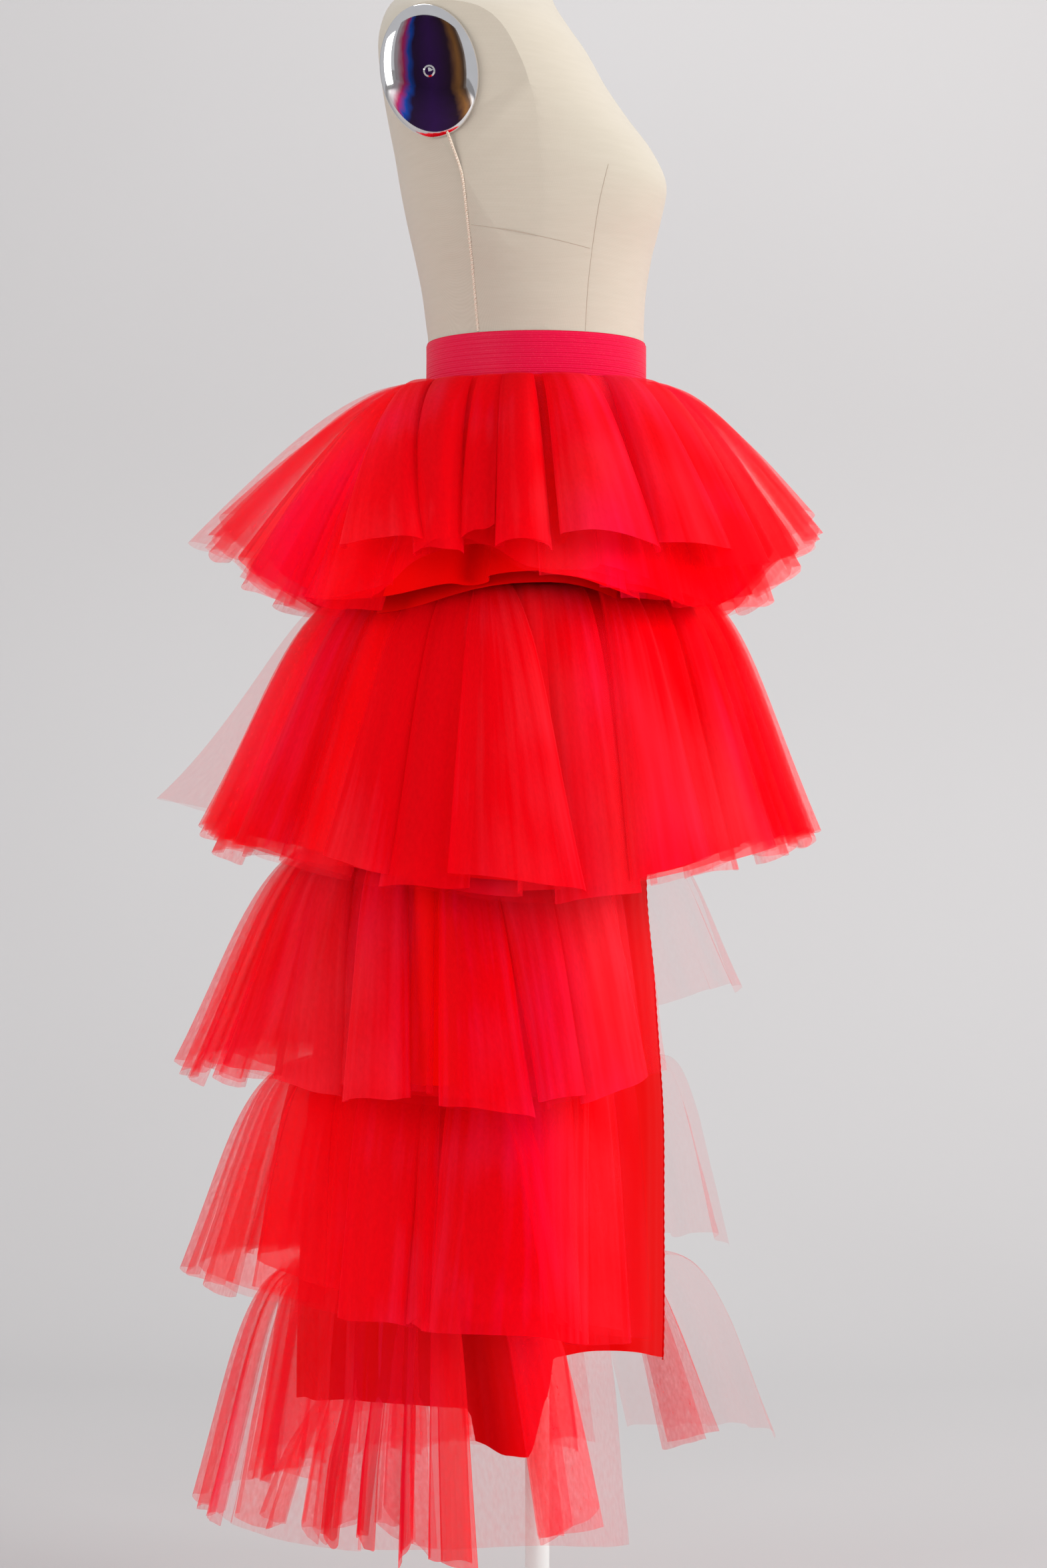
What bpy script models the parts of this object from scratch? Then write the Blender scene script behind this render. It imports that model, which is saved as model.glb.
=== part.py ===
"""A five-tier tulle skirt on a dress form with a stand.

Metres, +Z up. The form faces -Y, its right side is at -X, and the origin is on the floor under
the pole. Angles around the body run from the front (0 degrees) by the left side (+X, 90 degrees)
to the back (180 degrees) and the right side (-X, 270 degrees).
"""

import math
from collections import namedtuple

import bmesh
import bpy
from mathutils import Matrix, Vector

MM = 0.001
TURN = 2 * math.pi

# Heights of the seams, from the floor.
BAND_TOP = 1.187
BAND_HEIGHT = 0.040
BAND_BOTTOM = BAND_TOP - BAND_HEIGHT
TORSO_BOTTOM = 0.870
NECK_TOP = 1.572

# Walls and the gap that touching pieces keep.
GAP = 0.3 * MM
BAND_WALL = 1.6 * MM
SLIP_WALL = 1.2 * MM
TULLE_WALL = 1.2 * MM

# The stand.
BASE_RADIUS = 0.190
BASE_HEIGHT = 0.014
BASE_BEVEL = 0.004
POLE_RADIUS = 0.011
FLANGE_RADIUS = 0.034
FLANGE_HEIGHT = 0.006
SOCKET_RADIUS = 0.020
SOCKET_HEIGHT = 0.030

# The oval plates that close the armholes.
PLATE_CENTRE = Vector((0.160, 0.094, 1.407))
PLATE_HALF_HEIGHT = 0.0575
PLATE_HALF_WIDTH = 0.0430
PLATE_DOME = 0.0130
PLATE_LEAN = math.radians(11)
PLATE_TURN = math.radians(9)
SCREW_RADIUS = 0.0052
SCREW_HEIGHT = 0.0022
NECK_CAP_HEIGHT = 0.004

# The front slit of the slip, which the three lower tiers leave open too.
SLIT_TOP = 0.800
SLIT_OPEN = 0.520
SLIT_HALF_ANGLE = math.radians(15)
SIDE_LEFT = TURN / 4
SIDE_RIGHT = 3 * TURN / 4

Oval = namedtuple("Oval", "z back front widest half_width round_front round_back")
SlipOval = namedtuple("SlipOval", "z back front half_width")
Tier = namedtuple(
    "Tier",
    "name seam_z back_z left_z right_z side_z corner_drop back front_left front_right side "
    "bulge_out bulge_up waves depth columns left_edge right_edge",
)

# Level sections of the torso: how far back and forward each reaches, where along Y it is widest,
# its half width, and the roundness of its front and back halves (2 is an ellipse).
TORSO = [
    Oval(1.572, 0.103, -0.004, 0.050, 0.052, 2.0, 2.0),
    Oval(1.545, 0.107, -0.006, 0.050, 0.054, 2.0, 2.0),
    Oval(1.522, 0.113, -0.009, 0.052, 0.062, 2.0, 2.0),
    Oval(1.508, 0.120, -0.012, 0.058, 0.082, 2.0, 2.0),
    Oval(1.493, 0.130, -0.017, 0.066, 0.118, 2.0, 2.3),
    Oval(1.479, 0.137, -0.025, 0.074, 0.152, 2.0, 2.7),
    Oval(1.464, 0.141, -0.035, 0.080, 0.174, 2.0, 3.0),
    Oval(1.447, 0.143, -0.047, 0.084, 0.183, 2.0, 3.2),
    Oval(1.417, 0.140, -0.064, 0.080, 0.182, 2.0, 3.2),
    Oval(1.387, 0.135, -0.085, 0.070, 0.170, 2.1, 3.0),
    Oval(1.356, 0.129, -0.109, 0.058, 0.156, 2.3, 2.7),
    Oval(1.326, 0.124, -0.122, 0.045, 0.147, 2.5, 2.5),
    Oval(1.296, 0.118, -0.116, 0.030, 0.140, 2.5, 2.4),
    Oval(1.265, 0.111, -0.105, 0.016, 0.133, 2.3, 2.3),
    Oval(1.235, 0.105, -0.099, 0.006, 0.125, 2.2, 2.2),
    Oval(1.205, 0.101, -0.097, 0.001, 0.120, 2.1, 2.1),
    Oval(1.188, 0.099, -0.097, 0.001, 0.118, 2.1, 2.1),
    Oval(1.146, 0.099, -0.097, 0.001, 0.118, 2.1, 2.1),
    Oval(1.139, 0.099, -0.097, 0.001, 0.118, 2.1, 2.1),
    Oval(1.105, 0.107, -0.104, 0.002, 0.130, 2.1, 2.1),
    Oval(1.060, 0.120, -0.111, 0.006, 0.150, 2.2, 2.2),
    Oval(1.000, 0.129, -0.114, 0.010, 0.165, 2.2, 2.2),
    Oval(0.950, 0.132, -0.113, 0.010, 0.172, 2.2, 2.2),
    Oval(0.900, 0.129, -0.109, 0.010, 0.170, 2.2, 2.2),
    Oval(0.870, 0.123, -0.103, 0.010, 0.162, 2.2, 2.2),
]
BUST_HEIGHT = 1.326
BUST_SPREAD = 0.040
BUST_HOLLOW = 0.012
BUST_HOLLOW_HALF_WIDTH = 0.036

# Level sections of the slip's inner face.
SLIP = [
    SlipOval(1.1462, 0.0997, -0.0977, 0.1188),
    SlipOval(1.1250, 0.1040, -0.1010, 0.1245),
    SlipOval(1.1050, 0.1092, -0.1062, 0.1324),
    SlipOval(1.0600, 0.1226, -0.1133, 0.1535),
    SlipOval(1.0000, 0.1325, -0.1170, 0.1690),
    SlipOval(0.9500, 0.1390, -0.1175, 0.1775),
    SlipOval(0.9000, 0.1460, -0.1150, 0.1815),
    SlipOval(0.8000, 0.1640, -0.1050, 0.1840),
    SlipOval(0.7000, 0.1820, -0.0980, 0.1850),
    SlipOval(0.6000, 0.1970, -0.1080, 0.1860),
    SlipOval(0.5000, 0.2050, -0.1160, 0.1870),
    SlipOval(0.4000, 0.2090, -0.1165, 0.1875),
    SlipOval(0.3000, 0.2110, -0.1160, 0.1880),
    SlipOval(0.2000, 0.2120, -0.1130, 0.1880),
]
SLIP_ROUND = 2.15
SLIP_ROWS = [
    1.1462, 1.125, 1.098, 1.050, 0.956, 0.850, 0.735, 0.635, 0.535, 0.442, 0.350, 0.200,
]
SLIP_STRAIGHT = 0.350
FLUTES = 8
FLUTE_DEPTH = 0.006
FLUTE_START = 0.62
FLUTE_FULL = 0.25

# Each side of the slip has one deep flute: its place in degrees from the front, its half width
# in degrees and how far it stands out.
DEEP_FLUTE = 80
DEEP_FLUTE_HALF_WIDTH = 10
DEEP_FLUTE_DEPTH = 0.020

# The slip's hem, alike on both sides: degrees from the front and height.
SLIP_HEM = [
    (0, 0.270), (58, 0.296), (72, 0.214), (88, 0.224), (100, 0.254), (128, 0.253), (160, 0.240),
    (180, 0.231),
]

# The tiers: the height of the gathered seam, the hem's height at the back, at the left and right
# of the front and at the sides, how much lower it dips between them, the hem's reach from the
# pole's axis, the profile's control point, the ruffle's waves, and how many degrees from the
# front its two edges are. A tier with both edges at the front is closed.
TIERS = [
    Tier("tier_1", 1.1440, 1.004, 1.004, 1.004, 0.972, 0.028, 0.291, 0.246, 0.246, 0.284,
         0.28, 0.024, 22, 0.013, 108, 0, 0),
    Tier("tier_2", 0.9560, 0.738, 0.738, 0.738, 0.694, 0.000, 0.293, 0.240, 0.240, 0.290,
         0.64, 0.008, 22, 0.014, 108, 0, 0),
    Tier("tier_3", 0.7350, 0.542, 0.598, 0.552, 0.522, 0.000, 0.312, 0.176, 0.138, 0.290,
         0.78, 0.000, 20, 0.012, 98, 8, 8),
    Tier("tier_4", 0.5350, 0.348, 0.368, 0.300, 0.338, 0.000, 0.308, 0.172, 0.122, 0.284,
         0.78, 0.000, 20, 0.012, 96, 16, 18),
    Tier("tier_5", 0.3500, 0.140, 0.176, 0.146, 0.150, 0.000, 0.297, 0.206, 0.150, 0.274,
         0.76, 0.000, 18, 0.011, 88, 16, 58),
]
TIER_ROWS = 4
SEAM_GATHER = 1.6 * MM

RED_SATIN = (0.62, 0.002, 0.004)
RED_TULLE = (0.84, 0.006, 0.020)
RED_ELASTIC = (0.70, 0.015, 0.060)
LINEN = (0.68, 0.60, 0.48)
CHROME = (0.80, 0.80, 0.80)
PALE_PAINT = (0.80, 0.79, 0.77)


def clear_scene():
    for obj in list(bpy.data.objects):
        bpy.data.objects.remove(obj)


def material(name, colour, roughness, metallic=0.0):
    made = bpy.data.materials.new(name)
    made.use_nodes = True
    shader = made.node_tree.nodes["Principled BSDF"]
    shader.inputs["Base Color"].default_value = (*colour, 1)
    shader.inputs["Roughness"].default_value = roughness
    shader.inputs["Metallic"].default_value = metallic
    return made


def add_object(name, work, finish, smooth_angle=40):
    """Puts a finished bmesh into the scene as one named object."""
    mesh = bpy.data.meshes.new(name)
    work.to_mesh(mesh)
    work.free()
    mesh.shade_smooth()
    mesh.set_sharp_from_angle(angle=math.radians(smooth_angle))
    mesh.materials.append(finish)
    obj = bpy.data.objects.new(name, mesh)
    bpy.context.scene.collection.objects.link(obj)
    return obj


def along_table(rows, z):
    """The table's row at a height: a smooth curve through each column."""
    if z >= rows[0].z:
        return rows[0]
    if z <= rows[-1].z:
        return rows[-1]
    i = next(k for k in range(len(rows) - 1) if rows[k].z >= z >= rows[k + 1].z)
    before, upper, lower, after = rows[max(i - 1, 0)], rows[i], rows[i + 1], rows[min(i + 2, len(rows) - 1)]
    span = lower.z - upper.z
    t = (z - upper.z) / span
    values = [z]
    for b, u, v, a in zip(before[1:], upper[1:], lower[1:], after[1:]):
        start = (v - b) / (lower.z - before.z) * span
        end = (a - u) / (after.z - upper.z) * span
        values.append(
            u * (2 * t**3 - 3 * t**2 + 1)
            + start * (t**3 - 2 * t**2 + t)
            + v * (3 * t**2 - 2 * t**3)
            + end * (t**3 - t**2)
        )
    return type(upper)(*values)


def signed_power(value, power):
    return math.copysign(abs(value) ** power, value)


def smooth_step(value, start, end):
    t = min(max((value - start) / (end - start), 0), 1)
    return t * t * (3 - 2 * t)


def torso_point(angle, z):
    """A point of the torso's surface."""
    oval = along_table(TORSO, z)
    across, ahead = math.sin(angle), math.cos(angle)
    roundness = oval.round_front if ahead > 0 else oval.round_back
    depth = oval.widest - oval.front if ahead > 0 else oval.back - oval.widest
    x = oval.half_width * signed_power(across, 2 / roundness)
    y = oval.widest - depth * signed_power(ahead, 2 / roundness)
    if ahead > 0:
        height = math.exp(-(((z - BUST_HEIGHT) / BUST_SPREAD) ** 2))
        y += BUST_HOLLOW * height * math.exp(-((x / BUST_HOLLOW_HALF_WIDTH) ** 2))
    return Vector((x, y, z))


def degrees_from_front(angle):
    """How far round an angle is from the front, on either side: 0 to 180."""
    return math.degrees(math.acos(max(-1.0, min(1.0, math.cos(angle)))))


def slip_point(angle, z, out=0.0):
    """A point of the slip's inner face, moved out by a distance."""
    oval = along_table(SLIP, z)
    off = (degrees_from_front(angle) - DEEP_FLUTE) / DEEP_FLUTE_HALF_WIDTH
    wave = FLUTE_DEPTH * (0.5 + 0.5 * math.cos(FLUTES * angle)) + DEEP_FLUTE_DEPTH * math.exp(-off * off)
    wave *= smooth_step(FLUTE_START - z, 0, FLUTE_START - FLUTE_FULL)
    across, ahead = math.sin(angle), math.cos(angle)
    half_depth = (oval.back - oval.front) / 2
    centre = (oval.back + oval.front) / 2
    x = oval.half_width * signed_power(across, 2 / SLIP_ROUND)
    y = -half_depth * signed_power(ahead, 2 / SLIP_ROUND)
    outward = outward_at(angle, oval.half_width, half_depth)
    return Vector((x, y + centre, z)) + outward * (wave + out)


def outward_at(angle, half_width, half_depth):
    """The level direction that points away from an oval at an angle."""
    return Vector((math.sin(angle) * half_depth, -math.cos(angle) * half_width, 0)).normalized()


def slit_angle(z):
    """The half angle that the front slit leaves open at a height."""
    return SLIT_HALF_ANGLE * smooth_step(SLIT_TOP - z, 0, SLIT_TOP - SLIT_OPEN)


def wrapped_grid(columns, rows, place, closed):
    """A grid whose points are placed by place(u, t), with u around and t down, from 0 to 1."""
    work = bmesh.new()
    bmesh.ops.create_grid(work, x_segments=columns, y_segments=rows, size=0.5)
    for vert in work.verts:
        vert.co = place(vert.co.x + 0.5, 0.5 - vert.co.y)
    if closed:
        bmesh.ops.remove_doubles(work, verts=work.verts, dist=0.01 * MM)
    bmesh.ops.recalc_face_normals(work, faces=work.faces)
    middle = sum((v.co for v in work.verts), Vector()) / len(work.verts)
    outer = max(work.faces, key=lambda f: (f.calc_center_median().xy - middle.xy).length)
    if outer.normal.xy.dot(outer.calc_center_median().xy) < 0:
        bmesh.ops.reverse_faces(work, faces=work.faces)
    return work


def add_cloth(name, columns, rows, place, wall, finish, closed=False):
    """A cloth wall whose inner face goes through place(u, t) and which grows outwards."""
    obj = add_object(name, wrapped_grid(columns, rows, place, closed), finish, 75)
    thicken = obj.modifiers.new("wall", "SOLIDIFY")
    thicken.thickness = wall
    thicken.offset = 1
    thicken.use_even_offset = False
    return obj


def ring_loft(rings, place):
    """A closed body through rings of equal counts, bridged one to the next, with flat ends."""
    work = bmesh.new()
    loops = []
    for z, count in rings:
        verts = [work.verts.new(place(TURN * k / count, z)) for k in range(count)]
        loops.append([work.edges.new((verts[k], verts[(k + 1) % count])) for k in range(count)])
    for upper, lower in zip(loops, loops[1:]):
        bmesh.ops.bridge_loops(work, edges=upper + lower)
    bmesh.ops.holes_fill(work, edges=loops[0] + loops[-1], sides=0)
    bmesh.ops.recalc_face_normals(work, faces=work.faces)
    return work


def plate_matrix(side, out=0.0):
    """Local Z points out of the armhole and local Y up along the plate."""
    place = Matrix.Translation((side * PLATE_CENTRE.x, PLATE_CENTRE.y, PLATE_CENTRE.z))
    turn = Matrix.Rotation(side * (TURN / 4 + PLATE_LEAN), 4, "Y")
    upright = Matrix.Rotation(side * (TURN / 4 - PLATE_TURN), 4, "Z")
    return place @ turn @ upright @ Matrix.Translation((0, 0, out))


def make_torso(cloth):
    heights = [row.z for row in TORSO]
    count = 40
    obj = add_object("torso", ring_loft([(z, count) for z in heights], torso_point), cloth, 35)
    for side, word in ((-1, "right"), (1, "left")):
        work = bmesh.new()
        bmesh.ops.create_cube(work, size=0.3)
        bmesh.ops.translate(work, verts=work.verts, vec=(0, 0, 0.15))
        bmesh.ops.transform(work, verts=work.verts, matrix=plate_matrix(side))
        cutter = add_object(f"armhole_cutter_{word}", work, cloth)
        cutter.hide_render = True
        cutter.display_type = "WIRE"
        cut = obj.modifiers.new(f"armhole_{word}", "BOOLEAN")
        cut.operation = "DIFFERENCE"
        cut.object = cutter
    return obj


def make_arm_plate(side, word, chrome):
    work = bmesh.new()
    bmesh.ops.create_uvsphere(work, u_segments=28, v_segments=12, radius=1)
    everything = work.verts[:] + work.edges[:] + work.faces[:]
    bmesh.ops.bisect_plane(
        work, geom=everything, plane_co=(0, 0, 0.02), plane_no=(0, 0, 1), clear_inner=True
    )
    rim = [edge for edge in work.edges if edge.is_boundary]
    bmesh.ops.holes_fill(work, edges=rim, sides=0)
    bmesh.ops.scale(
        work, verts=work.verts, vec=(PLATE_HALF_WIDTH, PLATE_HALF_HEIGHT, PLATE_DOME)
    )
    bmesh.ops.transform(work, verts=work.verts, matrix=plate_matrix(side, GAP))
    bmesh.ops.recalc_face_normals(work, faces=work.faces)
    add_object(f"arm_plate_{word}", work, chrome)


def make_arm_screw(side, word, chrome):
    work = bmesh.new()
    bmesh.ops.create_cone(
        work, cap_ends=True, segments=16, radius1=SCREW_RADIUS, radius2=SCREW_RADIUS * 0.7,
        depth=SCREW_HEIGHT,
    )
    seat = PLATE_DOME + 2 * GAP + SCREW_HEIGHT / 2
    bmesh.ops.transform(work, verts=work.verts, matrix=plate_matrix(side, seat))
    add_object(f"arm_screw_{word}", work, chrome)


def make_neck_cap(chrome):
    oval = TORSO[0]
    work = bmesh.new()
    bmesh.ops.create_cone(
        work, cap_ends=True, segments=32, radius1=1, radius2=0.93, depth=NECK_CAP_HEIGHT
    )
    half_depth = (oval.back - oval.front) / 2
    bmesh.ops.scale(work, verts=work.verts, vec=(oval.half_width, half_depth, 1))
    centre = (0, (oval.back + oval.front) / 2, NECK_TOP + GAP + NECK_CAP_HEIGHT / 2)
    bmesh.ops.translate(work, verts=work.verts, vec=centre)
    add_object("neck_cap", work, chrome)


def turned(name, outline, segments, finish):
    """A turned body from (radius, height) pairs, bottom to top, that start and end on the axis."""
    work = bmesh.new()
    verts = [work.verts.new((radius, 0, height)) for radius, height in outline]
    edges = [work.edges.new(pair) for pair in zip(verts, verts[1:])]
    bmesh.ops.spin(
        work, geom=verts + edges, cent=(0, 0, 0), axis=(0, 0, 1), angle=TURN, steps=segments,
        use_merge=True,
    )
    bmesh.ops.remove_doubles(work, verts=work.verts, dist=0.01 * MM)
    bmesh.ops.recalc_face_normals(work, faces=work.faces)
    return add_object(name, work, finish)


def make_stand(paint):
    bevel = BASE_BEVEL
    turned(
        "stand_base",
        [(0, 0), (BASE_RADIUS, 0), (BASE_RADIUS, BASE_HEIGHT - bevel),
         (BASE_RADIUS - bevel, BASE_HEIGHT), (0, BASE_HEIGHT)],
        40, paint,
    )
    foot = BASE_HEIGHT + GAP
    top = TORSO_BOTTOM - GAP
    turned(
        "stand_pole",
        [(0, foot), (SOCKET_RADIUS, foot), (SOCKET_RADIUS, foot + SOCKET_HEIGHT),
         (POLE_RADIUS, foot + SOCKET_HEIGHT + SOCKET_RADIUS - POLE_RADIUS),
         (POLE_RADIUS, top - FLANGE_HEIGHT - FLANGE_RADIUS + POLE_RADIUS),
         (FLANGE_RADIUS, top - FLANGE_HEIGHT), (FLANGE_RADIUS, top), (0, top)],
        24, paint,
    )


def make_waistband(elastic):
    def place(u, t):
        angle = TURN * u
        ring = torso_point(angle, BAND_TOP - BAND_HEIGHT * t)
        oval = along_table(TORSO, BAND_TOP)
        return ring + outward_at(angle, oval.half_width, oval.back) * (GAP + 0.15 * MM)

    add_cloth("waistband", 60, 2, place, BAND_WALL, elastic, closed=True)


def slip_hem(angle):
    """The height of the slip's hem at an angle."""
    degrees = degrees_from_front(angle)
    for (start, high), (end, low) in zip(SLIP_HEM, SLIP_HEM[1:]):
        if degrees <= end:
            return high + (low - high) * smooth_step(degrees, start, end)
    return SLIP_HEM[-1][1]


def make_slip(satin):
    seam_gap = GAP / 2
    centre_gap = seam_gap / SLIP[0].half_width
    side_gap = seam_gap / abs(SLIP[0].front)
    panels = (
        ("slip_back", lambda z: SIDE_LEFT, lambda z: SIDE_RIGHT, side_gap, side_gap, 30),
        ("slip_front_left", slit_angle, lambda z: SIDE_LEFT, centre_gap, side_gap, 18),
        ("slip_front_right", lambda z: SIDE_RIGHT, lambda z: TURN - slit_angle(z),
         side_gap, centre_gap, 18),
    )
    for name, start, end, start_gap, end_gap, columns in panels:
        def place(u, t, start=start, end=end, start_gap=start_gap, end_gap=end_gap):
            level = SLIP_ROWS[round(t * (len(SLIP_ROWS) - 1))]
            low, high = start(level) + start_gap, end(level) - end_gap
            angle = low + (high - low) * u
            fall = min(level - SLIP_STRAIGHT, 0) / (SLIP_ROWS[-1] - SLIP_STRAIGHT)
            z = max(level, SLIP_STRAIGHT) + (slip_hem(angle) - SLIP_STRAIGHT) * fall
            return slip_point(angle, z)

        add_cloth(name, columns, len(SLIP_ROWS) - 1, place, SLIP_WALL, satin)


def wave_phase(tier, angle):
    """The ruffle's phase: the waves are uneven, some broad and some narrow."""
    shift = 0.9 * math.sin(3 * angle + tier.waves) + 0.5 * math.sin(5 * angle + 2.1 * tier.waves)
    return tier.waves * angle + shift


def wave_depth(tier, angle):
    return tier.depth * (0.8 + 0.2 * math.sin(4 * angle + tier.waves))


def hem_point(tier, angle):
    """Where a tier's hem would be with no waves: its level reach from the axis and its height."""
    across, ahead = math.sin(angle), math.cos(angle)
    leftness = smooth_step(across, -0.5, 0.5)
    front = tier.front_right + (tier.front_left - tier.front_right) * leftness
    front_z = tier.right_z + (tier.left_z - tier.right_z) * leftness
    depth, middle_z = (front, front_z) if ahead > 0 else (tier.back, tier.back_z)
    height = tier.side_z + (middle_z - tier.side_z) * abs(ahead) ** 1.5
    height -= tier.corner_drop * math.sin(2 * angle) ** 2
    return Vector((tier.side * across, -depth * ahead, height))


def tier_point(tier, angle, t):
    """A point of a tier's inner face: gathered at the seam, and flared and waved at the hem."""
    seam = slip_point(angle, tier.seam_z, SLIP_WALL + GAP)
    hem = hem_point(tier, angle)
    outward = (hem.xy - seam.xy).to_3d()
    if outward.length > 0:
        outward.normalize()
    swing = math.cos(wave_phase(tier, angle))
    control = seam.lerp(hem, tier.bulge_out)
    control.z = seam.z + tier.bulge_up
    point = seam * (1 - t) ** 2 + control * 2 * t * (1 - t) + hem * t * t
    point += outward_at(angle, 1, 1) * wave_depth(tier, angle) * swing * t**0.8
    point.z += 0.35 * wave_depth(tier, angle) * swing * t
    point += outward_at(angle, 1, 1) * SEAM_GATHER * (0.5 + 0.5 * swing) * (1 - t)
    return point


def make_tiers(tulle):
    for tier in TIERS:
        start = math.radians(tier.left_edge)
        span = TURN - start - math.radians(tier.right_edge)
        add_cloth(
            tier.name, tier.columns, TIER_ROWS,
            lambda u, t, tier=tier, start=start, span=span: tier_point(tier, start + span * u, t),
            TULLE_WALL, tulle, closed=span == TURN,
        )


def build():
    clear_scene()
    linen = material("form_linen", LINEN, 0.85)
    chrome = material("chrome", CHROME, 0.08, 1.0)
    paint = material("stand_paint", PALE_PAINT, 0.45)
    make_torso(linen)
    for side, word in ((-1, "right"), (1, "left")):
        make_arm_plate(side, word, chrome)
        make_arm_screw(side, word, chrome)
    make_neck_cap(chrome)
    make_stand(paint)
    make_waistband(material("elastic", RED_ELASTIC, 0.55))
    make_slip(material("satin", RED_SATIN, 0.40))
    make_tiers(material("tulle", RED_TULLE, 0.70))


build()
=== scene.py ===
import math
from collections import namedtuple

import bmesh
import bpy
from mathutils import Matrix, Vector, noise


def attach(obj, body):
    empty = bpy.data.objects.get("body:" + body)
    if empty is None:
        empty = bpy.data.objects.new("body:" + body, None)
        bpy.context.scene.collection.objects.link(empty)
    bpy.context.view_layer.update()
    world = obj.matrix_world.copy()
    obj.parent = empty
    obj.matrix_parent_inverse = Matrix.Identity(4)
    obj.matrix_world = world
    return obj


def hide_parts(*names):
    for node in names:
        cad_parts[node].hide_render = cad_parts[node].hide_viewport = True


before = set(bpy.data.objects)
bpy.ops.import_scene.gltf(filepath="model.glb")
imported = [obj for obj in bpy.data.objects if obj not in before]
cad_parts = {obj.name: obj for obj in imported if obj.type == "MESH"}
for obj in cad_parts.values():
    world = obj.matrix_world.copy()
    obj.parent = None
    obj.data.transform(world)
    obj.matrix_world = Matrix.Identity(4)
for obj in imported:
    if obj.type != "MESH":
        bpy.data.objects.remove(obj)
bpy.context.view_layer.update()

turn = 2 * math.pi
mm = 0.001
gap = 0.3 * mm  # between pieces


class Wire:
    # one socket of a material, on which sums can be written
    def __init__(self, bench, socket):
        self.bench, self.socket = bench, socket

    def maths(self, operation, *values):
        return self.bench.node("ShaderNodeMath", {"operation": operation}, dict(enumerate(values)))

    def __add__(self, other):
        return self.maths("ADD", self, other)

    def __radd__(self, other):
        return self.maths("ADD", other, self)

    def __sub__(self, other):
        return self.maths("SUBTRACT", self, other)

    def __rsub__(self, other):
        return self.maths("SUBTRACT", other, self)

    def __mul__(self, other):
        return self.maths("MULTIPLY", self, other)

    def __rmul__(self, other):
        return self.maths("MULTIPLY", other, self)

    def __pow__(self, other):
        return self.maths("POWER", self, other)

    def held(self):
        # kept between 0 and 1
        return self.maths("MINIMUM", self.maths("MAXIMUM", self, 0.0), 1.0)


class Bench:
    # a material's node tree, with one method that makes and joins any node
    def __init__(self, name):
        self.material = bpy.data.materials.new(name)
        self.material.use_nodes = True
        self.tree = self.material.node_tree
        self.tree.nodes.clear()

    def node(self, kind, settings=None, sockets=None, out=0):
        made = self.tree.nodes.new(kind)
        for key, value in (settings or {}).items():
            if key == "stops":
                ramp = made.color_ramp
                while len(ramp.elements) < len(value):
                    ramp.elements.new(0.5)
                for element, (place, colour) in zip(ramp.elements, value):
                    element.position, element.color = place, colour
            else:
                setattr(made, key, value)
        for key, value in (sockets or {}).items():
            if isinstance(value, Wire):
                self.tree.links.new(value.socket, made.inputs[key])
            else:
                made.inputs[key].default_value = value
        return Wire(self, made.outputs[out])

    def place(self, scale=(1, 1, 1), turned=(0, 0, 0), uv=None):
        # object coordinates, or one of the piece's own UV maps, scaled and turned
        if uv:
            source = self.node("ShaderNodeUVMap", {"uv_map": uv})
        else:
            source = self.node("ShaderNodeTexCoord", out="Object")
        return self.node("ShaderNodeMapping", None, {"Vector": source, "Scale": scale, "Rotation": turned})

    def grain(self, scale, detail=2.0, rough=0.5, turned=(0, 0, 0), uv=None):
        # soft spots, so many to a metre each way
        sockets = {"Vector": self.place(scale, turned, uv), "Scale": 1.0, "Detail": detail,
                   "Roughness": rough}
        return self.node("ShaderNodeTexNoise", None, sockets)

    def bands(self, direction, scale, waver, turned=(0, 0, 0), uv=None):
        # threads or ribs side by side
        sockets = {"Vector": self.place((1, 1, 1), turned, uv), "Scale": scale, "Distortion": waver}
        return self.node("ShaderNodeTexWave", {"bands_direction": direction}, sockets)

    def mix(self, amount, first, second):
        # two colours
        sockets = {"Factor": amount, 6: first, 7: second}
        return self.node("ShaderNodeMix", {"data_type": "RGBA"}, sockets, out=2)

    def bump(self, height, depth, strength=1.0):
        sockets = {"Height": height, "Distance": depth, "Strength": strength}
        return self.node("ShaderNodeBump", None, sockets)

    def surface(self, colour, roughness, normal=None, **more):
        # more holds further sockets, such as sheenWeight for Sheen Weight
        sockets = {"Base Color": colour, "Roughness": roughness}
        if normal:
            sockets["Normal"] = normal
        for key, value in more.items():
            sockets[surfaceSockets[key]] = value
        return self.node("ShaderNodeBsdfPrincipled", None, sockets)

    def finish(self, shader):
        made = self.tree.nodes.new("ShaderNodeOutputMaterial")
        self.tree.links.new(shader.socket, made.inputs["Surface"])
        return self.material


surfaceSockets = {"metallic": "Metallic", "shine": "Specular IOR Level", "sheen": "Sheen Weight",
                  "sheenRoughness": "Sheen Roughness", "sheenTint": "Sheen Tint"}


def shade(red, green, blue):
    return (red, green, blue, 1)


# the deep and the pale colour of each finish
tints = {
    "linen": (shade(0.46, 0.40, 0.315), shade(0.58, 0.52, 0.43)),
    "thread": (shade(0.56, 0.40, 0.28), shade(0.88, 0.78, 0.66)),
    # the seam's colours are darker than the linen's as painted shade of the seam's groove
    "seam": (shade(0.42, 0.34, 0.26), shade(0.50, 0.42, 0.33)),
    "chrome": (shade(0.72, 0.70, 0.69), shade(0.82, 0.81, 0.81)),
    "paint": (shade(0.66, 0.65, 0.63), shade(0.76, 0.75, 0.73)),
    "elastic": (shade(0.66, 0.001, 0.044), shade(0.78, 0.003, 0.058)),
    "satin": (shade(0.54, 0.0, 0.0002), shade(0.64, 0.0002, 0.0006)),
    "backdrop": (shade(0.49, 0.475, 0.47), shade(0.535, 0.525, 0.52)),
}


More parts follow.
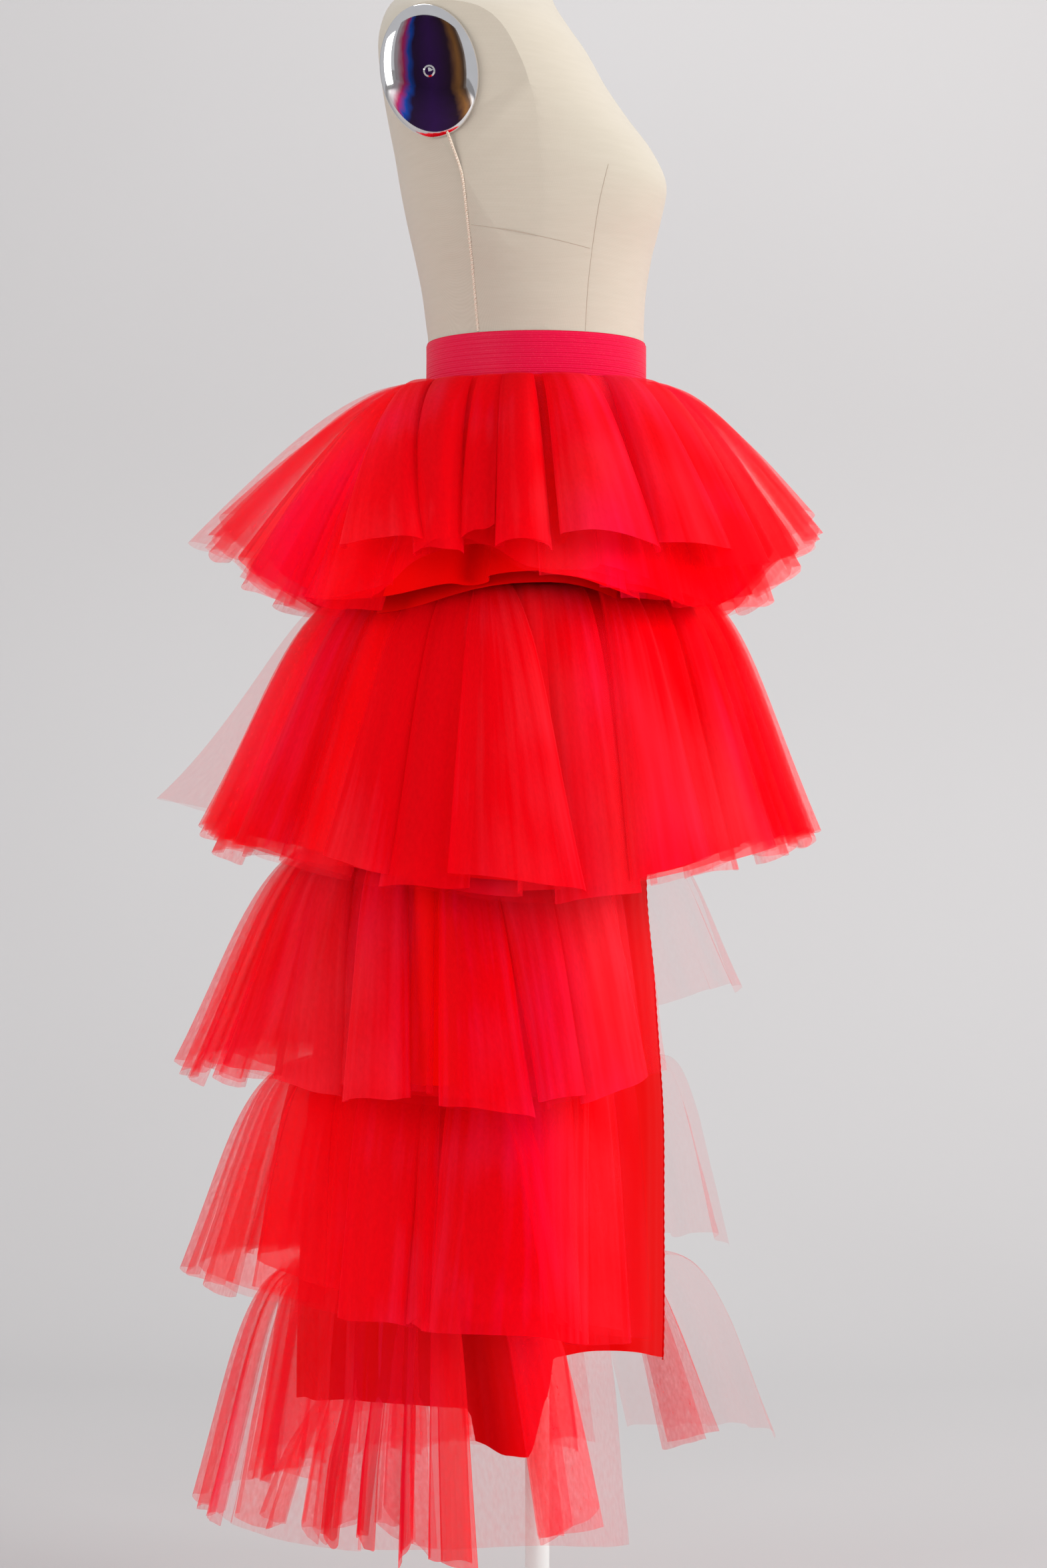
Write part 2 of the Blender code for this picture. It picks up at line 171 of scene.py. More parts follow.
def linenFinish():
    bench = Bench("formLinen")
    weft = bench.bands("Z", 420.0, 1.2)
    warp = bench.bands("X", 420.0, 1.2, turned=(0, 0, turn / 8))
    weave = weft * 0.5 + warp * 0.5
    slub = bench.grain((30, 30, 300), 3.0)
    cloud = bench.grain((7, 7, 7), 3.0)
    tone = (0.35 * weave + 0.35 * slub + 0.30 * cloud).held()
    cloth = bench.bump(weave + 0.6 * slub, 0.12 * mm, 0.5)
    return bench.finish(bench.surface(
        bench.mix(tone, *tints["linen"]), 0.85, cloth, shine=0.25, sheen=0.25, sheenRoughness=0.5,
    ))


def threadFinish():
    bench = Bench("creamThread")
    twist = bench.bands("DIAGONAL", 500.0, 0.6)
    colour = bench.mix(twist, *tints["thread"])
    return bench.finish(bench.surface(colour, 0.7, bench.bump(twist, 0.1 * mm)))


def seamFinish():
    # a strip along each seam line: the seam is real, and its darker colour is painted shade of the seam's
    # groove
    bench = Bench("formSeamGrooveShade")
    slub = bench.grain((400, 400, 400))
    colour = bench.mix(slub, *tints["seam"])
    return bench.finish(bench.surface(colour, 0.9, bench.bump(slub, 0.1 * mm)))


def chromeFinish():
    bench = Bench("chromePlate")
    smear = bench.grain((60, 60, 60), 4.0)
    ripple = bench.bump(bench.grain((14, 14, 14)), 0.4 * mm, 0.3)
    colour = bench.mix(smear, *tints["chrome"])
    return bench.finish(bench.surface(colour, 0.03 + 0.05 * smear, ripple, metallic=1.0))


def paintFinish():
    bench = Bench("standPaint")
    cloud = bench.grain((9, 9, 9), 4.0)
    peel = bench.bump(bench.grain((300, 300, 300)), 0.05 * mm, 0.4)
    return bench.finish(bench.surface(bench.mix(cloud, *tints["paint"]), 0.32 + 0.15 * cloud, peel))


def elasticFinish():
    # ribs along the band, with painted glints: pale spots on the yarn that stand in for highlights
    bench = Bench("ribbedElastic")
    yarn = bench.bands("Y", 92.0, 0.3, uv="cut")
    spots = {"Vector": bench.place((370, 520, 1), uv="cut"), "Scale": 1.6}
    paintedGlint = (1.0 - bench.node("ShaderNodeTexVoronoi", None, spots) * 3.4).held() ** 3.0
    base = bench.mix(bench.grain((9, 9, 9), 3.0), *tints["elastic"])
    # painted highlight: the glint spots turn the colour pale pink
    colour = bench.mix((0.55 * paintedGlint).held(), base, shade(0.95, 0.34, 0.36))
    return bench.finish(bench.surface(
        colour, 0.50, bench.bump(yarn, 0.4 * mm, 0.8), shine=0.20, sheen=0.15,
        sheenTint=shade(1.0, 0.30, 0.32),
    ))


def satinFinish():
    bench = Bench("redSatin")
    thread = bench.grain((1600, 60, 1), uv="cut")
    colour = bench.mix(bench.grain((6, 6, 6), 3.0), *tints["satin"])
    return bench.finish(bench.surface(
        colour, 0.56 + 0.1 * thread, bench.bump(thread, 0.1 * mm, 0.4), shine=0.03, sheen=0.02,
        sheenTint=shade(1.0, 0.05, 0.05),
    ))


# how much of the light one thickness of each net stops, how coarse its mottling and streaks are,
# how much more it stops at the edges of its folds, how much of what it stops goes through it, and
# its colour where it is deep, where it is pale and where it is rosy. The pale colour also paints a
# highlight along the edges of its folds, and the core's darker colours are painted shade
Net = namedtuple("Net", "cover mottle streak edge through deep pale rose")
deepRed, paleRed, roseRed = shade(0.96, 0.0, 0.006), shade(1.0, 0.048, 0.080), shade(1.0, 0.005, 0.130)
nets = {
    "veil": Net(0.13, 0.30, 0.15, 1.4, 0.45, shade(0.86, 0.001, 0.010), shade(0.97, 0.020, 0.050),
                shade(0.97, 0.020, 0.060)),
    "sheer": Net(0.20, 0.60, 0.25, 0.7, 0.42, deepRed, paleRed, roseRed),
    "light": Net(0.38, 0.50, 0.30, 0.4, 0.38, deepRed, paleRed, roseRed),
    "full": Net(0.66, 0.12, 0.15, 0.3, 0.28, deepRed, shade(1.0, 0.046, 0.072), roseRed),
    # the core's colours are darker than the outer nets' as painted shade, for the inner layer that lies in
    # the shade of those over it
    "core": Net(1.00, 0.0, 0.0, 0.0, 0.0, shade(0.84, 0.0, 0.0), shade(0.94, 0.001, 0.010),
                shade(0.94, 0.0, 0.020)),
}


def netFinish(kind):
    # red net on its cut in metres, doubled along the edges of its folds and paler there: the paleness
    # is a painted highlight for light caught where the net turns under
    net = nets[kind]
    bench = Bench(f"net_{kind}")
    mottle = bench.grain((300, 186, 0.3), 2.0, 0.6, (0, 0, 0.6), "cut")
    streak = bench.grain((80, 4, 1), 3.0, 0.6, uv="cut")
    crease = bench.grain((22, 5, 1), 1.0, uv="cut")
    cloud = bench.grain((7, 7, 5))
    blush = bench.grain((9, 9, 2.5), 1.0, turned=(4, 0, 0))
    across = bench.node("ShaderNodeSeparateXYZ", None, {"Vector": bench.place(uv="fold")})
    aside = (0.25 * turn * (2.0 * across.maths("FRACT", across) - 1.0)).maths("SINE")
    edge = (aside * aside) ** 3.0
    rim = (aside * aside) ** 5.0
    # edge in the tone paints a highlight along each fold's edges; streak and cloud vary the tone at random
    tone = (0.9 * streak + 1.9 * cloud + 0.7 * edge - 1.25).held()
    colour = bench.mix(tone, net.deep, net.pale)
    colour = bench.mix((3.2 * blush - 1.35).held(), colour, bench.mix(tone, net.deep, net.rose))
    # painted highlight: the very edges of each fold turn pale pink, for light caught where the net turns
    # under
    colour = bench.mix(0.75 * rim, colour, shade(1.0, 0.19, 0.23))
    front = bench.surface(
        colour, 0.60, bench.bump(0.03 * streak + crease, 8 * mm), shine=0.04, sheen=0.16,
        sheenRoughness=0.25, sheenTint=shade(1.0, 0.12, 0.16),
    )
    if net.cover >= 1:
        return bench.finish(front)
    uneven = 1.0 + net.mottle * 2.4 * (mottle - 0.5) + net.streak * 2.0 * (streak - 0.5)
    thin = net.cover * (uneven + net.edge * (edge + rim))
    back = bench.node("ShaderNodeBsdfTranslucent", None, {"Color": shade(1.0, 0.001, 0.022)})
    lit = bench.node("ShaderNodeMixShader", None, {0: net.through, 1: front, 2: back})
    hole = bench.node("ShaderNodeBsdfTransparent")
    return bench.finish(bench.node("ShaderNodeMixShader", None, {0: thin.held(), 1: hole, 2: lit}))


def backdropFinish():
    bench = Bench("paleBackdrop")
    colour = bench.mix(bench.grain((0.9, 0.9, 0.9)), *tints["backdrop"])
    return bench.finish(bench.surface(colour, 0.9, shine=0.1))


def cardFinish():
    # a dark room: plum in the middle, a blue stripe to the left and brown to the right
    bench = Bench("darkRoom")
    cloud = bench.grain((1.4, 1.4, 1.4), 3.0)
    side = bench.node("ShaderNodeSeparateXYZ", None, {"Vector": bench.place()}, out=1)
    stops = [
        (0.00, shade(0.45, 0.38, 0.33)), (0.10, shade(0.10, 0.06, 0.04)), (0.22, shade(0.20, 0.09, 0.03)),
        (0.34, shade(0.02, 0.01, 0.02)), (0.52, shade(0.03, 0.01, 0.06)), (0.66, shade(0.02, 0.01, 0.03)),
        (0.72, shade(0.01, 0.06, 0.34)), (0.80, shade(0.40, 0.02, 0.10)), (0.90, shade(0.45, 0.40, 0.42)),
    ]
    place = (0.5 + 0.16 * side + 0.10 * (cloud - 0.5)).held()
    colour = bench.node("ShaderNodeValToRGB", {"stops": stops}, {0: place})
    return bench.finish(bench.node("ShaderNodeBsdfDiffuse", None, {"Color": colour}))


def linked(name, work, finish, smooth=40):
    # a bmesh made into an object, with its edges sharp past the angle smooth, or with none sharp at 0
    mesh = bpy.data.meshes.new(name)
    work.to_mesh(mesh)
    work.free()
    mesh.shade_smooth()
    if smooth:
        mesh.set_sharp_from_angle(angle=math.radians(smooth))
    mesh.materials.append(finish)
    made = bpy.data.objects.new(name, mesh)
    bpy.context.scene.collection.objects.link(made)
    return made


def ready(name, work, finish, stands=(), smooth=40):
    # a finished piece that rides on the part, in place of the nodes that it stands for
    piece = linked(name, work, finish, smooth)
    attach(piece, "root")
    if stands:
        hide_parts(*stands)
    return piece


def alongTable(rows, z):
    # the table's row at a height, on a smooth curve through each column
    if z >= rows[0].z:
        return rows[0]
    if z <= rows[-1].z:
        return rows[-1]
    i = next(k for k in range(len(rows) - 1) if rows[k].z >= z >= rows[k + 1].z)
    upper, lower = rows[i], rows[i + 1]
    before, after = rows[max(i - 1, 0)], rows[min(i + 2, len(rows) - 1)]
    span = lower.z - upper.z
    t = (z - upper.z) / span
    values = [z]
    for b, u, v, a in zip(before[1:], upper[1:], lower[1:], after[1:]):
        start = (v - b) / (lower.z - before.z) * span
        end = (a - u) / (after.z - upper.z) * span
        values.append(
            u * (2 * t**3 - 3 * t**2 + 1)
            + start * (t**3 - 2 * t**2 + t)
            + v * (3 * t**2 - 2 * t**3)
            + end * (t**3 - t**2)
        )
    return type(upper)(*values)


def signedPower(value, power):
    return math.copysign(abs(value) ** power, value)


def smoothStep(value, start, end):
    t = min(max((value - start) / (end - start), 0), 1)
    return t * t * (3 - 2 * t)


def everyPart(work):
    return work.verts[:] + work.edges[:] + work.faces[:]


def clothGrid(columns, rows, place, cut, closed=False, shift=0.0, count=None):
    # a sheet whose points are placed by place(u, t), u around and t down. One UV map is its cut,
    # and where count(u) numbers its folds a second one holds that
    work = bmesh.new()
    work.loops.layers.uv.new("cut")
    bmesh.ops.create_grid(work, x_segments=columns, y_segments=rows, size=0.5, calc_uvs=True)
    if count:
        work.loops.layers.uv.new("fold")
    flat = work.loops.layers.uv["cut"]
    for face in work.faces:
        for loop in face.loops:
            u, v = loop[flat].uv
            loop[flat].uv = (u * cut[0] + shift, v * cut[1])
            if count:
                loop[work.loops.layers.uv["fold"]].uv = (count(u), v)
    for vert in work.verts:
        vert.co = place(vert.co.x + 0.5, 0.5 - vert.co.y)
    if closed:
        bmesh.ops.remove_doubles(work, verts=work.verts, dist=0.01 * mm)
    bmesh.ops.recalc_face_normals(work, faces=work.faces)
    total = sum(f.normal.xy.dot(f.calc_center_median().xy.normalized()) for f in work.faces)
    if total < 0:
        bmesh.ops.reverse_faces(work, faces=work.faces)
    return work


# the form's level sections: how far back its back, its front and its widest place are, half its
# width there, and how square it is before and behind
Oval = namedtuple("Oval", "z back front widest halfWidth roundFront roundBack")
form = {
    "sections": [
        Oval(1.572, 0.103, -0.004, 0.050, 0.052, 2.0, 2.0),
        Oval(1.545, 0.107, -0.006, 0.050, 0.054, 2.0, 2.0),
        Oval(1.522, 0.113, -0.009, 0.052, 0.062, 2.0, 2.0),
        Oval(1.508, 0.120, -0.012, 0.058, 0.082, 2.0, 2.0),
        Oval(1.493, 0.130, -0.017, 0.066, 0.118, 2.0, 2.3),
        Oval(1.479, 0.137, -0.025, 0.074, 0.152, 2.0, 2.7),
        Oval(1.464, 0.141, -0.035, 0.080, 0.174, 2.0, 3.0),
        Oval(1.447, 0.143, -0.047, 0.084, 0.183, 2.0, 3.2),
        Oval(1.417, 0.140, -0.064, 0.080, 0.182, 2.0, 3.2),
        Oval(1.387, 0.135, -0.085, 0.070, 0.170, 2.1, 3.0),
        Oval(1.356, 0.129, -0.109, 0.058, 0.156, 2.3, 2.7),
        Oval(1.326, 0.124, -0.122, 0.045, 0.147, 2.5, 2.5),
        Oval(1.296, 0.118, -0.116, 0.030, 0.140, 2.5, 2.4),
        Oval(1.265, 0.111, -0.105, 0.016, 0.133, 2.3, 2.3),
        Oval(1.235, 0.105, -0.099, 0.006, 0.125, 2.2, 2.2),
        Oval(1.205, 0.101, -0.097, 0.001, 0.120, 2.1, 2.1),
        Oval(1.188, 0.099, -0.097, 0.001, 0.118, 2.1, 2.1),
        Oval(1.146, 0.099, -0.097, 0.001, 0.118, 2.1, 2.1),
        Oval(1.139, 0.099, -0.097, 0.001, 0.118, 2.1, 2.1),
        Oval(1.105, 0.107, -0.104, 0.002, 0.130, 2.1, 2.1),
        Oval(1.060, 0.120, -0.111, 0.006, 0.150, 2.2, 2.2),
        Oval(1.000, 0.129, -0.114, 0.010, 0.165, 2.2, 2.2),
        Oval(0.950, 0.132, -0.113, 0.010, 0.172, 2.2, 2.2),
        Oval(0.900, 0.129, -0.109, 0.010, 0.170, 2.2, 2.2),
        Oval(0.870, 0.123, -0.103, 0.010, 0.162, 2.2, 2.2),
    ],
    "bustZ": 1.326,
    "bustSpread": 0.040,
    "bustHollow": 0.012,
    "bustHollowHalfWidth": 0.036,
    "around": 128,
    "ringGap": 0.0065,
    "capHeight": 0.004,
    "capTaper": 0.93,
}
plate = {
    "centre": Vector((0.160, 0.094, 1.407)),
    "halfHeight": 0.0575,
    "halfWidth": 0.0430,
    "dome": 0.0130,
    "lean": math.radians(11),
    "turned": math.radians(9),
    "screwRadius": 0.0052,
    "screwHeight": 0.0022,
    "screwTaper": 0.72,
    "slotWidth": 0.0013,
    "slotReach": 0.55,
    "slotDepth": 0.45,
}


def torsoPoint(angle, z, out=0.0):
    oval = alongTable(form["sections"], z)
    across, ahead = math.sin(angle), math.cos(angle)
    roundness = oval.roundFront if ahead > 0 else oval.roundBack
    depth = oval.widest - oval.front if ahead > 0 else oval.back - oval.widest
    x = oval.halfWidth * signedPower(across, 2 / roundness)
    y = oval.widest - depth * signedPower(ahead, 2 / roundness)
    if ahead > 0:
        height = math.exp(-(((z - form["bustZ"]) / form["bustSpread"]) ** 2))
        y += form["bustHollow"] * height * math.exp(-((x / form["bustHollowHalfWidth"]) ** 2))
    if out:
        step = Vector((across * depth, -ahead * oval.halfWidth, 0)).normalized()
        x += out * step.x
        y += out * step.y
    return Vector((x, y, z))


def plateMatrix(side, out=0.0):
    # local Z points out of the armhole and local Y up along the plate
    centre = plate["centre"]
    place = Matrix.Translation((side * centre.x, centre.y, centre.z))
    lean = Matrix.Rotation(side * (turn / 4 + plate["lean"]), 4, "Y")
    upright = Matrix.Rotation(side * (turn / 4 - plate["turned"]), 4, "Z")
    return place @ lean @ upright @ Matrix.Translation((0, 0, out))


def makeTorso(finish):
    top, bottom = form["sections"][0].z, form["sections"][-1].z
    count = round((top - bottom) / form["ringGap"])
    around = form["around"]
    work = bmesh.new()
    loops = []
    for k in range(count + 1):
        z = top + (bottom - top) * k / count
        bmesh.ops.create_circle(work, segments=around, radius=1)
        work.verts.ensure_lookup_table()
        for n, vert in enumerate(work.verts[-around:]):
            vert.co = torsoPoint(turn * n / around, z)
        work.edges.ensure_lookup_table()
        loops.append(work.edges[-around:])
    for upper, lower in zip(loops, loops[1:]):
        bmesh.ops.bridge_loops(work, edges=upper + lower)
    bmesh.ops.holes_fill(work, edges=loops[0] + loops[-1], sides=0)
    for side in (-1, 1):
        flat = plateMatrix(side)
        cut = bmesh.ops.bisect_plane(
            work, geom=everyPart(work), plane_co=flat.translation, plane_no=flat.to_3x3().col[2],
            clear_outer=True,
        )
        rim = [e for e in cut["geom_cut"] if isinstance(e, bmesh.types.BMEdge)]
        bmesh.ops.holes_fill(work, edges=rim, sides=0)
    bmesh.ops.recalc_face_normals(work, faces=work.faces)
    ready("formTorso", work, finish, ("torso",), 30)


def makePlate(side, word, finish):
    work = bmesh.new()
    bmesh.ops.create_uvsphere(work, u_segments=96, v_segments=48, radius=1)
    bmesh.ops.bisect_plane(
        work, geom=everyPart(work), plane_co=(0, 0, 0.02), plane_no=(0, 0, 1), clear_inner=True
    )
    rim = [edge for edge in work.edges if edge.is_boundary]
    bmesh.ops.holes_fill(work, edges=rim, sides=0)
    size = (plate["halfWidth"], plate["halfHeight"], plate["dome"])
    bmesh.ops.scale(work, verts=work.verts, vec=size)
    bmesh.ops.transform(work, verts=work.verts, matrix=plateMatrix(side, gap))
    bmesh.ops.recalc_face_normals(work, faces=work.faces)
    ready(f"armPlate{word.capitalize()}", work, finish, (f"arm_plate_{word}",), 50)


def makeScrew(side, word, finish):
    # a round head with a cross cut into it
    radius, height = plate["screwRadius"], plate["screwHeight"]
    work = bmesh.new()
    bmesh.ops.create_cone(
        work, cap_ends=True, segments=48, radius1=radius, radius2=radius * plate["screwTaper"],
        depth=height,
    )
    slot = plate["slotWidth"] / 2
    for normal in (Vector((1, 0, 0)), Vector((0, 1, 0))):
        for place in (-slot, slot):
            bmesh.ops.bisect_plane(work, geom=everyPart(work), plane_co=normal * place, plane_no=normal)
    for face in work.faces[:]:
        near, far = sorted(abs(c) for c in face.calc_center_median().xy)
        if face.normal.z > 0.9 and near < slot and far < radius * plate["slotReach"]:
            push = bmesh.ops.extrude_face_region(work, geom=[face])
            down = [v for v in push["geom"] if isinstance(v, bmesh.types.BMVert)]
            bmesh.ops.translate(work, verts=down, vec=(0, 0, -plate["slotDepth"] * height))
    bmesh.ops.recalc_face_normals(work, faces=work.faces)
    seat = plate["dome"] + 2 * gap + height / 2
    bmesh.ops.transform(work, verts=work.verts, matrix=plateMatrix(side, seat))
    ready(f"armScrew{word.capitalize()}", work, finish, (f"arm_screw_{word}",), 30)


def surfaceStrip(points, outward, width, height):
    # a thin rounded strip that follows points on a surface
    work = bmesh.new()
    rows = []
    for k, point in enumerate(points):
        before, after = points[max(k - 1, 0)], points[min(k + 1, len(points) - 1)]
        side = (after - before).normalized().cross(outward[k]).normalized() * width / 2
        raised = point + outward[k] * height
        profile = [work.verts.new(p) for p in
                   (point - side, raised - side / 2, raised + side / 2, point + side)]
        rows.append([work.edges.new(pair) for pair in zip(profile, profile[1:])])
    for first, second in zip(rows, rows[1:]):
        bmesh.ops.bridge_loops(work, edges=first + second)
    bmesh.ops.recalc_face_normals(work, faces=work.faces)
    return work


def outwardOnTorso(angle, z):
    aside, up = 0.03, 0.004
    level = torsoPoint(angle + aside, z) - torsoPoint(angle - aside, z)
    rise = torsoPoint(angle, z + up) - torsoPoint(angle, z - up)
    out = level.cross(rise)
    middle = alongTable(form["sections"], z).widest
    point = torsoPoint(angle, z)
    if out.xy.dot(Vector((point.x, point.y - middle))) < 0:
        out.negate()
    return out.normalized()


# seams on each side of the form: how far back and how high the points along each are
seams = {
    "chest": [(0.058, 1.278), (0.020, 1.272), (-0.016, 1.265), (-0.046, 1.259)],
    "bust": [(-0.062, 1.332), (-0.054, 1.300), (-0.048, 1.260), (-0.044, 1.225), (-0.042, 1.188)],
}
seamSize = (0.6 * mm, 0.2 * mm)
sideSeam = {
    "knots": [(0.079, 1.356), (0.066, 1.322), (0.0625, 1.290), (0.0575, 1.245), (0.0525, 1.188)],
    "width": 2.4 * mm,
    "height": 1.0 * mm,
    "stitches": 52,
    "stitch": (2.1 * mm, 0.6 * mm, 0.6 * mm, 1),
}


def angleAt(back, z):
    # the angle at which the torso's surface is so far back
    low, high = 0.0, turn / 2
    for _ in range(30):
        middle = (low + high) / 2
        if torsoPoint(middle, z).y < back:
            low = middle
        else:
            high = middle
    return low


def smoothPath(knots, steps):
    # points along the knots, evenly, with their corners rounded: angles and heights
    pairs = []
    for (a0, z0), (a1, z1) in zip(knots, knots[1:]):
        for k in range(steps):
            f = k / steps
            pairs.append((a0 + (a1 - a0) * f, z0 + (z1 - z0) * f))
    pairs.append(knots[-1])
    for _ in range(steps):
        middle = [((p[0] + 2 * q[0] + r[0]) / 4, (p[1] + 2 * q[1] + r[1]) / 4)
                  for p, q, r in zip(pairs, pairs[1:], pairs[2:])]
        pairs = [pairs[0]] + middle + [pairs[-1]]
    return [(angleAt(back, z), z) for back, z in pairs]


def alongTorso(knots, steps, side, lift):
    # points along a seam on one side of the form, and the way out at each
    path = [(side * angle, z) for angle, z in smoothPath(knots, steps)]
    return [torsoPoint(a, z, lift) for a, z in path], [outwardOnTorso(a, z) for a, z in path]


def makeSeams(finish):
    for name, knots in seams.items():
        for side, word in ((-1, "Right"), (1, "Left")):
            work = surfaceStrip(*alongTorso(knots, 9, side, 0.05 * mm), *seamSize)
            ready(f"{name}Seam{word}", work, finish)


def makeSideSeam(side, word, finish):
    # hand whipped: short slanted stitches over the two folded edges
    points, outward = alongTorso(sideSeam["knots"], 12, side, 0.1 * mm)
    work = surfaceStrip(points, outward, sideSeam["width"], sideSeam["height"])
    for k in range(sideSeam["stitches"]):
        where = (k + 0.5) / sideSeam["stitches"] * (len(points) - 1)
        i = min(int(where), len(points) - 2)
        out = outward[i]
        centre = points[i].lerp(points[i + 1], where - i) + out * sideSeam["height"]
        along = (points[i + 1] - points[i]).normalized()
        across = along.cross(out).normalized()
        slant = (along * 1.25 + across * (0.8 + 0.5 * math.sin(7.3 * k))).normalized()
        third = slant.cross(out).normalized()
        stitch = bmesh.ops.create_icosphere(work, subdivisions=1, radius=1)["verts"]
        axes = Matrix((slant, third, out)).transposed().to_4x4()
        size = Matrix.Diagonal(sideSeam["stitch"])
        bmesh.ops.transform(work, verts=stitch, matrix=Matrix.Translation(centre) @ axes @ size)
    ready(f"sideSeam{word}", work, finish, smooth=60)


stand = {"baseRadius": 0.190, "baseHeight": 0.014, "bevel": 0.004, "pole": 0.011, "socket": 0.020,
         "socketHeight": 0.030, "flange": 0.034, "flangeHeight": 0.006}


def makeTurned(name, outline, segments, finish, node):
    # a turned body from (radius, height) pairs that start and end on the axis
    work = bmesh.new()
    verts = [work.verts.new((radius, 0, height)) for radius, height in outline]
    edges = [work.edges.new(pair) for pair in zip(verts, verts[1:])]
    bmesh.ops.spin(
        work, geom=verts + edges, cent=(0, 0, 0), axis=(0, 0, 1), angle=turn, steps=segments,
        use_merge=True,
    )
    bmesh.ops.remove_doubles(work, verts=work.verts, dist=0.01 * mm)
    bmesh.ops.recalc_face_normals(work, faces=work.faces)
    ready(name, work, finish, (node,))


def makeStand(finish):
    radius, height, bevel = stand["baseRadius"], stand["baseHeight"], stand["bevel"]
    arc = [(radius - bevel + bevel * math.cos(a), height - bevel + bevel * math.sin(a))
           for a in (math.radians(15 * k) for k in range(7))]
    disc = [(0, 0), (radius, 0), *arc, (0, height)]
    makeTurned("standBase", disc, 128, finish, "stand_base")
    foot = height + gap
    top = form["sections"][-1].z - gap
    pole, socket, flange = stand["pole"], stand["socket"], stand["flange"]
    neck = foot + stand["socketHeight"]
    shoulder = top - stand["flangeHeight"]
    outline = [(0, foot), (socket, foot), (socket, neck), (pole, neck + socket - pole),
               (pole, shoulder - flange + pole), (flange, shoulder), (flange, top), (0, top)]
    makeTurned("standPole", outline, 64, finish, "stand_pole")


def makeNeckCap(finish):
    oval = form["sections"][0]
    work = bmesh.new()
    bmesh.ops.create_cone(
        work, cap_ends=True, segments=96, radius1=1, radius2=form["capTaper"], depth=form["capHeight"]
    )
    halfDepth = (oval.back - oval.front) / 2
    bmesh.ops.scale(work, verts=work.verts, vec=(oval.halfWidth, halfDepth, 1))
    centre = (0, (oval.back + oval.front) / 2, oval.z + gap + form["capHeight"] / 2)
    bmesh.ops.translate(work, verts=work.verts, vec=centre)
    ready("neckCap", work, finish, ("neck_cap",), 50)


band = {"top": 1.187, "height": 0.040, "ribs": 21, "rib": 0.45 * mm, "wall": 1.3 * mm,
        "edge": 0.06, "edgeThinner": 0.6, "lift": 0.4 * mm, "around": 220, "cut": (0.70, 0.042)}


def makeWaistband(finish):
    def place(u, t):
        z = band["top"] - band["height"] * t
        edge = smoothStep(abs(t - 0.5), 0.5 - band["edge"], 0.5)
        swell = band["wall"] * (1 - edge * band["edgeThinner"])
        rib = band["rib"] * math.cos(turn * band["ribs"] * t)
        return torsoPoint(turn * u, z, band["lift"] + swell + rib)

    work = clothGrid(band["around"], band["ribs"] * 4, place, band["cut"], closed=True)
    piece = ready("waistbandElastic", work, finish, ("waistband",), 0)


# the slip hangs in level ovals and breaks into flutes lower down, with one deep flute on each side
SlipOval = namedtuple("SlipOval", "z back front halfWidth")
slip = {
    "sections": [
        SlipOval(1.1462, 0.0997, -0.0977, 0.1188),
        SlipOval(1.1250, 0.1040, -0.1010, 0.1245),
        SlipOval(1.1050, 0.1092, -0.1062, 0.1324),
        SlipOval(1.0600, 0.1226, -0.1133, 0.1535),
        SlipOval(1.0000, 0.1325, -0.1170, 0.1690),
        SlipOval(0.9500, 0.1390, -0.1175, 0.1775),
        SlipOval(0.9000, 0.1460, -0.1150, 0.1815),
        SlipOval(0.8000, 0.1640, -0.1050, 0.1840),
        SlipOval(0.7000, 0.1820, -0.0980, 0.1850),
        SlipOval(0.6000, 0.1970, -0.1080, 0.1860),
        SlipOval(0.5000, 0.2050, -0.1160, 0.1870),
        SlipOval(0.4000, 0.2090, -0.1165, 0.1875),
        SlipOval(0.3000, 0.2110, -0.1160, 0.1880),
        SlipOval(0.2000, 0.2120, -0.1130, 0.1880),
    ],
    "roundness": 2.15,
    "flutes": 8,
    "fluteDepth": 0.006,
    "fluteStart": 0.62,
    "fluteFull": 0.25,
    "deepFlute": 80,
    "deepHalfWidth": 10,
    "deepDepth": 0.020,
    # degrees from the front, on either side, and height
    "hem": [(0, 0.270), (58, 0.296), (71, 0.294), (73, 0.262), (79, 0.212), (84, 0.214), (91, 0.224),
            (93, 0.252), (128, 0.252), (160, 0.240), (180, 0.231)],
    "straight": 0.350,
    "slitTop": 0.800,
    "slitOpen": 0.520,
    "slitHalf": math.radians(15),
    "out": 0.84 * mm,
    "crease": 1.6 * mm,
    "rows": 150,
}
serging = {"below": 0.05, "above": 2 * mm, "rings": 260, "radius": 0.75 * mm, "swell": 0.35,
           "ringsAStitch": 4}


def degreesFromFront(angle):
    return math.degrees(math.acos(max(-1.0, min(1.0, math.cos(angle)))))


def slipPoint(angle, z, out=0.0):
    oval = alongTable(slip["sections"], z)
    off = (degreesFromFront(angle) - slip["deepFlute"]) / slip["deepHalfWidth"]
    wave = slip["fluteDepth"] * (0.5 + 0.5 * math.cos(slip["flutes"] * angle))
    wave += slip["deepDepth"] * math.exp(-off * off)
    wave *= smoothStep(slip["fluteStart"] - z, 0, slip["fluteStart"] - slip["fluteFull"])
    across, ahead = math.sin(angle), math.cos(angle)
    halfDepth = (oval.back - oval.front) / 2
    x = oval.halfWidth * signedPower(across, 2 / slip["roundness"])
    y = (oval.back + oval.front) / 2 - halfDepth * signedPower(ahead, 2 / slip["roundness"])
    step = Vector((across * halfDepth, -ahead * oval.halfWidth, 0)).normalized()
    return Vector((x, y, z)) + step * (wave + out)


def slitAngle(z):
    return slip["slitHalf"] * smoothStep(slip["slitTop"] - z, 0, slip["slitTop"] - slip["slitOpen"])


def slipHem(angle):
    degrees = degreesFromFront(angle)
    for (start, high), (end, low) in zip(slip["hem"], slip["hem"][1:]):
        if degrees <= end:
            return high + (low - high) * smoothStep(degrees, start, end)
    return slip["hem"][-1][1]


